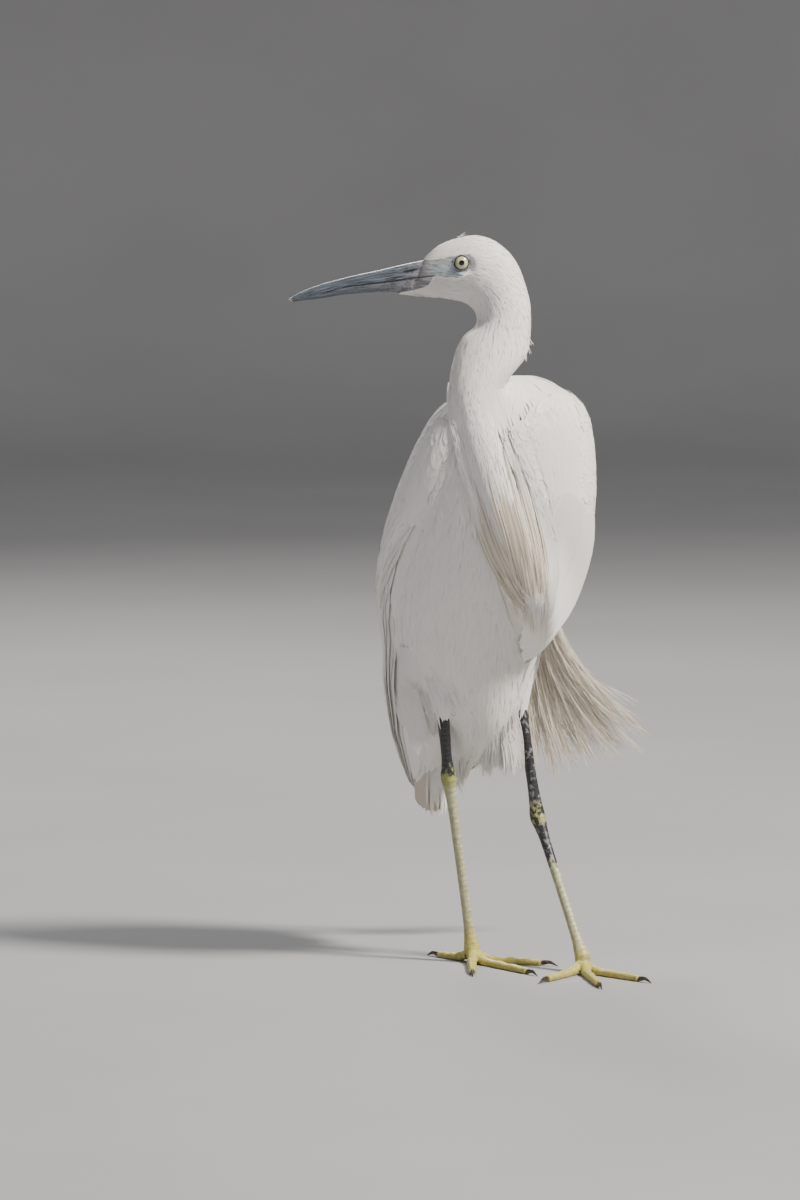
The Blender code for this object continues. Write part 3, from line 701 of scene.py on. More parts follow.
@dataclass(frozen=True)
class LegFinish:
    """Scaled leg skin: black shank, pale green tarsus and yellow foot; on one leg the black
    has pale patches of painted sheen.

    Its data is the distance down the leg in millimetres, with the ankle at 0 and toes
    past the hub, and the direction round the leg.
    """

    name: str
    black_to: float
    hub_at: float
    # Share of pale patches of painted sheen on the black.
    mottled_sheen: float
    greens: tuple = (rgb(0.40, 0.385, 0.22), rgb(0.52, 0.50, 0.33))
    yellows: tuple = (rgb(0.46, 0.40, 0.085), rgb(0.60, 0.53, 0.17))
    blacks: tuple = (rgb(0.018, 0.019, 0.022), rgb(0.12, 0.125, 0.13))
    # Painted sheen: pale patches standing for reflections on the black skin.
    painted_sheen: tuple = rgb(0.24, 0.245, 0.25)
    joint: tuple = rgb(0.33, 0.335, 0.10)
    seam: tuple = rgb(0.17, 0.15, 0.07)

    def make(self) -> bpy.types.Material:
        """Builds the material."""
        made, nodes, shader = new_finish(
            self.name, 0.45, Specular_IOR_Level=0.45, Coat_Weight=0.08, Coat_Roughness=0.4
        )
        parts = nodes.data("limb")
        down, front, side = parts.outputs[0], parts.outputs[1], parts.outputs[2]
        mottle = use_group(nodes, mottle_group(), Patch=330.0, Grain=2400.0, Cell=900.0).outputs
        patches = mottle["Patches"]
        wavy = nodes.plus(down, nodes.times(nodes.minus(patches, 0.5), 26.0))
        green = nodes.blend(patches, 0.35, 0.65, *self.greens)
        yellow = nodes.blend(patches, 0.35, 0.7, *self.yellows)
        colour = nodes.blend(down, self.hub_at - 22.0, self.hub_at - 2.0, green, yellow)
        ankle = nodes.times(nodes.smooth(down, -12.0, -4.0), nodes.smooth(down, 10.0, 3.0))
        colour = nodes.mix(ankle, colour, self.joint)
        black = nodes.blend(mottle["Grain"], 0.55, 0.75, *self.blacks)
        # Painted sheen: pale patches laid over the black.
        if self.mottled_sheen:
            black = nodes.blend(patches, 0.52, 0.64, black, self.painted_sheen, self.mottled_sheen)
        dark = nodes.smooth(wavy, self.black_to + 4.0, self.black_to - 4.0)
        if self.mottled_sheen:
            dark = nodes.minus(dark, nodes.times(ankle, nodes.smooth(patches, 0.45, 0.55)))
        colour = nodes.mix(dark, colour, black)
        bands = nodes.add(
            "ShaderNodeTexWave",
            {"Vector": nodes.place(down), "Scale": 0.095, "Distortion": 0.6, "Detail": 1.0},
            wave_profile="SAW",
        ).outputs["Fac"]
        on_front = nodes.smooth(front, 0.1, 0.7)
        line = nodes.times(nodes.smooth(bands, 0.88, 0.99), on_front)
        net = nodes.times(nodes.smooth(mottle["Cells"], 0.10, 0.0), nodes.minus(1.0, on_front))
        seams = nodes.maths("MAXIMUM", line, net)
        colour = nodes.mix(nodes.times(seams, 0.45), colour, self.seam)
        nodes.paint(shader, colour)
        bump(nodes, shader, nodes.minus(1.0, seams), 0.00022, 0.8)
        return made


@dataclass(frozen=True)
class ClawFinish:
    """Dark horn claw with paler patches."""

    name: str = "claw_horn"
    dark: tuple = rgb(0.018, 0.015, 0.012)
    light: tuple = rgb(0.085, 0.07, 0.05)

    def make(self) -> bpy.types.Material:
        """Builds the material."""
        made, nodes, shader = new_finish(self.name, 0.32, Specular_IOR_Level=0.5, Coat_Weight=0.2)
        mottle = use_group(nodes, mottle_group(), Patch=500.0, Grain=2600.0, Cell=1500.0).outputs
        nodes.paint(shader, nodes.blend(mottle["Patches"], 0.35, 0.7, self.dark, self.light))
        bump(nodes, shader, mottle["Grain"], 0.00008, 0.4)
        return made


@dataclass(frozen=True)
class FloorFinish:
    """Plain pale studio floor with the faintest grain."""

    name: str = "studio_paper"
    colour: tuple = rgb(0.33, 0.332, 0.338)

    def make(self) -> bpy.types.Material:
        """Builds the material."""
        made, nodes, shader = new_finish(self.name, 0.85, Specular_IOR_Level=0.2)
        cloud = nodes.noise(nodes.objects(), 3.0, 4.0)
        lighter = tuple(min(c * 1.06, 1.0) for c in self.colour[:3]) + (1.0,)
        nodes.paint(shader, nodes.blend(cloud, 0.3, 0.7, self.colour, lighter))
        return made


def finish_piece(piece: bpy.types.Object, slot: str, *nodes: str) -> bpy.types.Object:
    """Rides a piece on the body and hides the nodes it stands for.

    Args:
        piece: The piece.
        slot: Not used.
        nodes: CAD nodes that the piece replaces.

    Returns:
        The piece.
    """
    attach(piece, "root")
    if nodes:
        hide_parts(*nodes)
    return piece


def linked(name: str, mesh: bpy.types.Mesh, finish: bpy.types.Material | None = None) -> bpy.types.Object:
    """Object for a mesh, in the scene, with its finish."""
    made = bpy.data.objects.new(name, mesh)
    bpy.context.scene.collection.objects.link(made)
    if finish:
        mesh.materials.append(finish)
    return made


def mesh_of(builder: bmesh.types.BMesh, name: str) -> bpy.types.Mesh:
    """Smooth mesh of a bmesh, which is freed."""
    mesh = bpy.data.meshes.new(name)
    builder.to_mesh(mesh)
    builder.free()
    mesh.shade_smooth()
    return mesh


def opened(mesh: bpy.types.Mesh) -> bmesh.types.BMesh:
    """Bmesh of a mesh, which is removed."""
    builder = bmesh.new()
    builder.from_mesh(mesh)
    bpy.data.meshes.remove(mesh)
    return builder


def soften(builder: bmesh.types.BMesh, verts: list, times: int) -> None:
    """Smooths some vertices of a bmesh a number of times."""
    for _ in range(times):
        bmesh.ops.smooth_vert(
            builder, verts=verts, factor=0.5, use_axis_x=True, use_axis_y=True, use_axis_z=True
        )


def wrapped_tube(rings: np.ndarray, closed_ends: bool = True) -> bmesh.types.BMesh:
    """Grid wrapped into a tube through rings of points.

    Args:
        rings: Array of rings, points and coordinates.
        closed_ends: Whether both ends are filled.

    Returns:
        A bmesh of the tube with its faces outwards.
    """
    count, sides = rings.shape[:2]
    builder = bmesh.new()
    bmesh.ops.create_grid(builder, x_segments=count - 1, y_segments=sides, size=1.0)
    for vertex in builder.verts:
        i = round((vertex.co.x + 1) / 2 * (count - 1))
        j = round((vertex.co.y + 1) / 2 * sides) % sides
        vertex.co = rings[i, j]
    bmesh.ops.remove_doubles(builder, verts=builder.verts, dist=1e-7)
    if closed_ends:
        rim = [edge for edge in builder.edges if edge.is_boundary]
        bmesh.ops.holes_fill(builder, edges=rim, sides=0)
    bmesh.ops.recalc_face_normals(builder, faces=builder.faces)
    return builder


def rings_along(
    path: np.ndarray, wide: np.ndarray, high: np.ndarray, sides: int, guide: Vector
) -> np.ndarray:
    """Oval rings square to a path.

    Args:
        path: Points of the path.
        wide: Half width at each point.
        high: Half height at each point.
        sides: Points in a ring.
        guide: Direction that the ring's height leans to.

    Returns:
        Array of rings.
    """
    along = unit(np.gradient(path, axis=0))
    side = unit(np.cross(along, np.array(guide)))
    upward = unit(np.cross(side, along))
    turn = np.linspace(0, 2 * math.pi, sides, endpoint=False)
    return (
        path[:, None, :]
        + side[:, None, :] * (wide[:, None] * np.cos(turn))[..., None]
        + upward[:, None, :] * (high[:, None] * np.sin(turn))[..., None]
    )


def remeshed(source: bpy.types.Mesh, voxel: float) -> bpy.types.Mesh:
    """One closed shell round everything in a mesh, its largest island.

    Args:
        source: The mesh, which is removed.
        voxel: The size of the grid.

    Returns:
        The new mesh.
    """
    carrier = linked("remesh_source", source)
    change = carrier.modifiers.new("weld", "REMESH")
    change.mode, change.voxel_size, change.adaptivity = "VOXEL", voxel, 0.0
    graph = bpy.context.evaluated_depsgraph_get()
    made = bpy.data.meshes.new_from_object(carrier.evaluated_get(graph), depsgraph=graph)
    bpy.data.objects.remove(carrier)
    bpy.data.meshes.remove(source)
    builder = opened(made)
    left = set(builder.verts)
    islands = []
    while left:
        stack = [left.pop()]
        found = list(stack)
        while stack:
            for edge in stack.pop().link_edges:
                for vertex in edge.verts:
                    if vertex in left:
                        left.remove(vertex)
                        stack.append(vertex)
                        found.append(vertex)
        islands.append(found)
    islands.sort(key=len)
    spare = [vertex for island in islands[:-1] for vertex in island]
    bmesh.ops.delete(builder, geom=spare, context="VERTS")
    return mesh_of(builder, "welded")


def vertex_array(mesh: bpy.types.Mesh) -> np.ndarray:
    """Places of a mesh's vertices."""
    flat = np.empty(len(mesh.vertices) * 3)
    mesh.vertices.foreach_get("co", flat)
    return flat.reshape(-1, 3)


def normal_array(mesh: bpy.types.Mesh) -> np.ndarray:
    """Normals of a mesh's vertices."""
    flat = np.empty(len(mesh.vertices) * 3, np.float32)
    mesh.vertex_normals.foreach_get("vector", flat)
    return flat.reshape(-1, 3).astype(float)


def put_vertices(mesh: bpy.types.Mesh, places: np.ndarray) -> None:
    """Moves a mesh's vertices."""
    mesh.vertices.foreach_set("co", places.ravel().astype(np.float32))
    mesh.update()


def put_data(mesh: bpy.types.Mesh, name: str, values: np.ndarray) -> None:
    """Writes a vector attribute at each vertex."""
    layer = mesh.attributes.new(name, "FLOAT_VECTOR", "POINT")
    layer.data.foreach_set("vector", values.astype(np.float32).ravel())


def joined_nodes(names: list, grow: float) -> bmesh.types.BMesh:
    """Merged copies of CAD nodes in one bmesh, each grown along its normals.

    Args:
        names: The nodes.
        grow: How far each surface moves outwards, in metres.

    Returns:
        The bmesh.
    """
    whole = bmesh.new()
    for name in names:
        part = bmesh.new()
        part.from_mesh(frame["nodes"][name].data)
        bmesh.ops.remove_doubles(part, verts=part.verts, dist=1e-6)
        if name.startswith("wing"):
            bmesh.ops.bisect_plane(
                part, geom=part.verts[:] + part.edges[:] + part.faces[:], dist=1e-7,
                plane_co=(0.0, 0.0, WING_CUT), plane_no=(0.0, 0.0, -1.0), clear_outer=True,
            )
            rim = [edge for edge in part.edges if edge.is_boundary]
            bmesh.ops.holes_fill(part, edges=rim, sides=0)
        part.normal_update()
        for vertex in part.verts:
            vertex.co = vertex.co + vertex.normal * grow
        mesh = mesh_of(part, "copy")
        whole.from_mesh(mesh)
        bpy.data.meshes.remove(mesh)
    return whole


@dataclass
class Skin:
    """One skin for head, neck, trunk, wings and thighs, lying under the coat."""

    nodes: tuple = ("head", "neck", "trunk", "wing_left", "wing_right", "thigh_left", "thigh_right")
    voxel: float = 1.5 * MM
    grow: float = 0.5 * MM
    body_depth: float = 1.5 * MM
    face_depth: float = 0.35 * MM
    smooth_steps: int = 6
    eye_up: float = 0.6
    socket_out: float = 10.7
    socket_reach: float = 5.2
    lore_outline: tuple = (
        (-31.0, 0.2), (-24.7, 1.5), (-17.9, 2.5), (-11.0, 3.2), (-6.2, 3.9), (-2.0, 4.4), (3.0, 3.0),
        (4.4, -0.6), (4.0, -3.4), (2.2, -6.0), (-0.4, -7.8), (-3.6, -8.6), (-7.0, -8.8), (-13.0, -8.3),
        (-17.6, -8.2), (-18.4, -10.6), (-20.6, -13.6), (-27.0, -16.0), (-34.0, -17.6),
    )
    ring_reach: float = 5.0
    edge_soft: float = 0.9
    crease_depth: float = 0.45
    tree: BVHTree = field(init=False)
    points: np.ndarray = field(init=False)
    faces: np.ndarray = field(init=False)
    area: np.ndarray = field(init=False)
    face_middle: np.ndarray = field(init=False)
    face_normal: np.ndarray = field(init=False)
    face_flow: np.ndarray = field(init=False)
    region: np.ndarray = field(init=False)

    def build(self) -> bpy.types.Object:
        """Builds the skin.

        Returns:
            The finished piece.
        """
        builder = joined_nodes([*self.nodes, "eye_left", "eye_right"], self.grow)
        builder = opened(remeshed(mesh_of(builder, "joined"), self.voxel))
        soften(builder, builder.verts, self.smooth_steps)
        self.refine_face(builder)
        mesh = mesh_of(builder, "skin")
        self.sink(mesh)
        self.mark_bare(mesh)
        piece = linked("skin", mesh, SkinFinish().make())
        finish_piece(piece, "feather", *self.nodes)
        self.index(mesh)
        return piece

    def refine_face(self, builder: bmesh.types.BMesh) -> None:
        """Splits the faces round both lores twice, for the lids and the edge of the bare skin."""
        middle = by_head(-9.0, 0.0, -3.0)
        for reach in (0.026, 0.022):
            near = [
                edge for edge in builder.edges
                if (edge.verts[0].co - middle).length < reach and (edge.verts[1].co - middle).length < reach
            ]
            bmesh.ops.subdivide_edges(builder, edges=near, cuts=1, use_grid_fill=True)
            close = [vertex for vertex in builder.verts if (vertex.co - middle).length < reach]
            soften(builder, close, 3)

    def head_places(self, places: np.ndarray) -> np.ndarray:
        """Millimetres across, out and up from the eyes of points in metres."""
        start = np.array(by_head(0, 0, 0))
        axes = np.array([ACROSS, OUTWARD, UPWARD]).T
        return (places - start) @ axes / MM

    def sink(self, mesh: bpy.types.Mesh) -> None:
        """Moves the shell inwards by the coat's depth, less on the face and where it is thin.

        Args:
            mesh: The shell.
        """
        places, normals = vertex_array(mesh), normal_array(mesh)
        tree = BVHTree.FromObject(linked("probe", mesh), bpy.context.evaluated_depsgraph_get())
        bpy.data.objects.remove(bpy.data.objects["probe"])
        spot = self.head_places(places)
        from_face = np.linalg.norm(spot * (1, 0.6, 1) - (-10, 0, -3), axis=1)
        share = step_between(12.0, 30.0, from_face)
        depth = self.face_depth + (self.body_depth - self.face_depth) * share
        depth += self.grow
        for i, (place, normal) in enumerate(zip(places, normals)):
            start = Vector(place - normal * 1e-5)
            hit = tree.ray_cast(start, Vector(-normal), 0.012)
            if hit[0] is not None:
                depth[i] = min(depth[i], 0.40 * hit[3])
        places = places - normals * depth[:, None]
        spot = self.head_places(places)
        around = np.linalg.norm(spot[:, [0, 2]] - (0.0, self.eye_up), axis=1)
        most = self.socket_out + 0.75 * np.maximum(around - self.socket_reach, 0.0)
        out = np.clip(spot[:, 1], -most, most)
        put_vertices(mesh, places + np.outer(out - spot[:, 1], OUTWARD) * MM)

    def outline_distance(self, spot: np.ndarray) -> np.ndarray:
        """Distance inside the lore outline, negative outside, of places by the head.

        Args:
            spot: Millimetres across, out and up.

        Returns:
            The signed distance in millimetres.
        """
        corners = np.array(self.lore_outline)
        start, end = corners, np.roll(corners, -1, axis=0)
        place = spot[:, [0, 2]][:, None, :]
        run = end - start
        share = np.clip(((place - start) * run).sum(-1) / (run**2).sum(-1), 0, 1)
        gap = np.linalg.norm(place - start - share[..., None] * run, axis=-1).min(1)
        level = place[..., 1]
        crosses = (start[:, 1] > level) != (end[:, 1] > level)
        at = start[:, 0] + (level - start[:, 1]) / np.where(run[:, 1] == 0, 1e-9, run[:, 1]) * run[:, 0]
        inside = (crosses & (place[..., 0] < at)).sum(1) % 2 == 1
        return np.where(inside, gap, -gap)

    def bare_share(self, places: np.ndarray) -> np.ndarray:
        """Signed millimetres inside the bare skin of the lores and round the eyes."""
        spot = self.head_places(places)
        lore = self.outline_distance(spot)
        ring = self.ring_reach - np.linalg.norm(spot[:, [0, 2]] - (0.0, self.eye_up), axis=1)
        facing = np.where(np.abs(spot[:, 1]) > 2.0, 0.0, -2.0)
        return np.maximum(lore, ring) + facing

    def gape_share(self, spot: np.ndarray) -> np.ndarray:
        """How much each place by the head lies in the crease behind the bill."""
        along = np.clip((spot[:, 0] + 32.0) / 15.5, 0.0, 1.0)
        line = -9.6 + 2.0 * along
        away = np.abs(spot[:, 2] - line)
        ends = step_between(-15.5, -18.0, spot[:, 0]) * step_between(-36.0, -34.0, spot[:, 0])
        return np.exp(-((away / 0.38) ** 2)) * ends

    def mark_bare(self, mesh: bpy.types.Mesh) -> None:
        """Writes where the skin is bare and where the gape creases it.

        The crease is sunk here, and the skin's finish paints shade into it.
        """
        places, normals = vertex_array(mesh), normal_array(mesh)
        bare = step_between(-self.edge_soft, self.edge_soft, self.bare_share(places))
        crease = self.gape_share(self.head_places(places))
        put_vertices(mesh, places - normals * (crease * self.crease_depth * MM)[:, None])
        put_data(mesh, "bare", np.stack([bare, crease, bare], axis=1))
        put_data(mesh, "by_head", self.head_places(places))

    def index(self, mesh: bpy.types.Mesh) -> None:
        """Keeps the arrays that the coat is grown from.

        Args:
            mesh: The finished skin.
        """
        work = mesh.copy()
        builder = bmesh.new()
        builder.from_mesh(work)
        bmesh.ops.triangulate(builder, faces=builder.faces)
        builder.to_mesh(work)
        self.tree = BVHTree.FromBMesh(builder)
        builder.free()
        self.points = vertex_array(work)
        normals = normal_array(work)
        corners = np.empty(len(work.polygons) * 3, np.int32)
        work.polygons.foreach_get("vertices", corners)
        self.faces = corners.reshape(-1, 3)
        bpy.data.meshes.remove(work)
        one, two, three = (self.points[self.faces[:, k]] for k in range(3))
        self.area = np.linalg.norm(np.cross(two - one, three - one), axis=1) / 2
        self.face_middle = (one + two + three) / 3
        self.face_normal = unit(normals[self.faces].sum(1))
        flow = lie_of_coat(self.points, normals)
        self.face_flow = flat_against(flow[self.faces].sum(1), self.face_normal)
        self.region = self.regions()

    def regions(self) -> np.ndarray:
        """Name of the nearest CAD node to each face."""
        corners, faces, owner = [], [], []
        for name in self.nodes:
            data = frame["nodes"][name].data
            base = len(corners)
            corners.extend(v.co.copy() for v in data.vertices)
            for face in data.polygons:
                faces.append([base + v for v in face.vertices])
                owner.append(name)
        tree = BVHTree.FromPolygons(corners, faces)
        found = [owner[tree.find_nearest(Vector(p))[2]] for p in self.face_middle]
        return np.array(found)


def lie_of_coat(points: np.ndarray, normals: np.ndarray) -> np.ndarray:
    """Direction in which the coat lies at points of the skin.

    It follows the outlines of head and neck from the bill down, and the sides of the
    trunk from the shoulders to the tail.

    Args:
        points: Places on the skin.
        normals: The skin's normals there.

    Returns:
        Unit vectors along the skin.
    """
    guides, ways = [], []
    rows = smooth_table(HEAD_ROWS, 70)

    def add_line(line: np.ndarray) -> None:
        """Keeps a guide line and the way that it runs."""
        guides.append(line)
        ways.append(unit(np.gradient(line, axis=0)))

    for top, low, out in ((1, 0, 0), (0, 1, 0), (0.5, 0.5, 1), (0.5, 0.5, -1), (0.85, 0.15, 0.7),
                          (0.85, 0.15, -0.7), (0.15, 0.85, 0.7), (0.15, 0.85, -0.7)):
        line = [
            by_head(r[0] * top + r[2] * low, r[4] + out * r[5], r[1] * top + r[3] * low) for r in rows
        ]
        add_line(np.array(line))
    levels = smooth_table(TRUNK_ROWS, 36)
    for turn in np.linspace(0, 2 * math.pi, 20, endpoint=False):
        line = [
            world(x + a * math.sin(turn), y - b * math.cos(turn), z) for z, x, y, a, b in levels
        ]
        add_line(np.array(line))
    guides, ways = np.concatenate(guides), np.concatenate(ways)
    found = np.empty_like(points)
    for start in range(0, len(points), 4000):
        some = points[start : start + 4000]
        gap = ((some[:, None, :] - guides) ** 2).sum(-1)
        weight = 1.0 / (gap + (5 * MM) ** 2) ** 2
        found[start : start + 4000] = weight @ ways / weight.sum(1, keepdims=True)
    return flat_against(found, normals)


class Shape(Enum):
    """Outline of a vane from its root to its tip, as (share, half width share) stops."""

    TUFT = ((0.0, 0.45), (0.3, 1.0), (0.6, 0.85), (0.85, 0.42), (1.0, 0.0))
    CONTOUR = ((0.0, 0.35), (0.25, 0.85), (0.6, 1.0), (0.85, 0.82), (0.96, 0.42), (1.0, 0.0))
    BLADE = ((0.0, 0.4), (0.15, 0.85), (0.5, 1.0), (0.8, 0.95), (0.93, 0.72), (0.985, 0.35), (1.0, 0.0))
    STRAND = ((0.0, 0.8), (0.2, 1.0), (0.6, 0.8), (0.9, 0.4), (1.0, 0.0))
    PLUME = ((0.0, 0.1), (0.3, 0.9), (0.5, 1.0), (0.75, 0.75), (0.92, 0.35), (1.0, 0.0))


@dataclass
class Vanes:
    """Like vanes gathered for one coat piece, made into one joined mesh."""

    name: str
    seed: int
    parts: list = field(default_factory=list)
    chance: np.random.Generator = field(init=False)

    def __post_init__(self) -> None:
        """Starts the piece's own random numbers."""
        self.chance = np.random.default_rng(self.seed)

    def add(
        self, path: np.ndarray, up: np.ndarray, width: np.ndarray, shape: Shape, places: np.ndarray,
        columns: int = 3, crest: float = 0.16, droop: float = 0.06,
    ) -> None:
        """Adds a batch of vanes with the same count of rings.

        Args:
            path: (vanes, rings, 3) middle line, the last point being the tip.
            up: (vanes, rings, 3) way that each vane faces.
            width: (vanes,) full width in metres.
            shape: The vane's outline.
            places: (vanes, 2) place of each root on the skin's unwrap.
            columns: Points across the vane's face.
            crest: Height of its middle as a share of its half width.
            droop: How far its edges bend down, as a share of its half width.
        """
        count, rings = path.shape[:2]
        share = np.linspace(0, 1, rings)
        stops = np.array(shape.value)
        half = np.interp(share, stops[:, 0], stops[:, 1])[None, :] * width[:, None] / 2
        along = unit(np.gradient(path, axis=1))
        side = unit(np.cross(along, up))
        over = unit(np.cross(side, along))
        across = np.linspace(-1, 1, columns)
        body = slice(0, rings - 1)
        wide = half[:, body, None]
        rise = wide * crest * (1 - across**2) - wide * droop * across**2
        points = (
            path[:, body, None, :]
            + side[:, body, None, :] * (wide * across)[..., None]
            + over[:, body, None, :] * rise[..., None]
        )
        facing = unit(over[:, body, None, :] + side[:, body, None, :] * (across * 0.12)[:, None])
        number = (rings - 1) * columns
        verts = np.concatenate([points.reshape(count, number, 3), path[:, -1:, :]], axis=1)
        top_normal = np.concatenate([facing.reshape(count, number, 3), over[:, -1:, :]], axis=1)
        luck = self.chance.random(count)
        data = np.empty((count, number + 1, 3))
        data[..., 0] = luck[:, None]
        data[..., 1] = np.append(np.repeat(share[:-1], columns), 1.0)
        data[..., 2] = np.append(np.tile(across, rings - 1), 0.0)
        faces, under = self.pattern(rings, columns)
        self.parts.append((verts, top_normal, -along[:, :1, :], data, faces, under, places))

    @staticmethod
    def pattern(rings: int, columns: int) -> tuple[np.ndarray, np.ndarray]:
        """Triangles of one vane.

        Args:
            rings: Rings with the tip.
            columns: Points across.

        Returns:
            The triangles, and for each 0 on top, 1 underneath or 2 at the root.
        """
        faces, under = [], []
        for k in range(rings - 2):
            a, b = k * columns, (k + 1) * columns
            for c in range(columns - 1):
                faces += [(a + c, a + c + 1, b + c + 1), (a + c, b + c + 1, b + c)]
                under += [0, 0]
            last = columns - 1
            faces += [(a, b, b + last), (a, b + last, a + last)]
            under += [1, 1]
        a, tip = (rings - 2) * columns, (rings - 1) * columns
        for c in range(columns - 1):
            faces.append((a + c, a + c + 1, tip))
            under.append(0)
        faces.append((a, tip, a + columns - 1))
        under.append(1)
        for c in range(columns - 1, 1, -1):
            faces.append((0, c, c - 1))
            under.append(2)
        return np.array(faces), np.array(under)

    def build(self, finish: bpy.types.Material, slot: str, *nodes: str) -> bpy.types.Object:
        """Joins the vanes into one piece.

        Args:
            finish: The material.
            slot: The record's slot.
            nodes: CAD nodes that the piece replaces.

        Returns:
            The finished piece.
        """
        all_verts, all_faces, all_normals, all_data, all_maps = [], [], [], [], []
        base = 0
        for verts, top, root, data, faces, under, places in self.parts:
            count, number = verts.shape[:2]
            starts = base + np.arange(count) * number
            all_verts.append(verts.reshape(-1, 3))
            all_data.append(data.reshape(-1, 3))
            all_faces.append((starts[:, None, None] + faces[None]).reshape(-1, 3))
            corner = top[:, faces]
            corner = np.where((under == 1)[None, :, None, None], -corner, corner)
            corner = np.where((under == 2)[None, :, None, None], root[:, :, None, :], corner)
            all_normals.append(corner.reshape(-1, 3))
            patch = (data[:, faces][..., [2, 1]] * (0.5, 1.0) - (0.0, 0.5)) * BAKE_PATCH
            all_maps.append((places[:, None, None, :] + patch).reshape(-1, 2))
            base += count * number
        verts, faces = np.concatenate(all_verts), np.concatenate(all_faces)
        mesh = bpy.data.meshes.new(self.name)
        mesh.vertices.add(len(verts))
        mesh.vertices.foreach_set("co", verts.astype(np.float32).ravel())
        mesh.loops.add(faces.size)
        mesh.loops.foreach_set("vertex_index", faces.astype(np.int32).ravel())
        mesh.polygons.add(len(faces))
        mesh.polygons.foreach_set("loop_start", np.arange(0, faces.size, 3, dtype=np.int32))
        mesh.update(calc_edges=True)
        mesh.shade_smooth()
        layer = mesh.uv_layers.new(name=BAKE_MAP)
        layer.data.foreach_set("uv", np.concatenate(all_maps).astype(np.float32).ravel())
        put_data(mesh, TUFT_DATA, np.concatenate(all_data))
        mesh.normals_split_custom_set(np.concatenate(all_normals))
        piece = linked(self.name, mesh, finish)
        finish_piece(piece, slot, *nodes)
        LOG.info("%s: %d triangles", self.name, len(faces))
        return piece


@dataclass(frozen=True)
class Growth:
    """How one kind of coat feather grows, in millimetres."""

    spacing: float
    length: float
    width: float
    tip_lift: float = 1.2
    root_lift: float = -0.5
    uneven: float = 0.25
    wander: float = 0.10
    rings: int = 5
    columns: int = 3
    shape: Shape = Shape.TUFT
    crest: float = 0.14


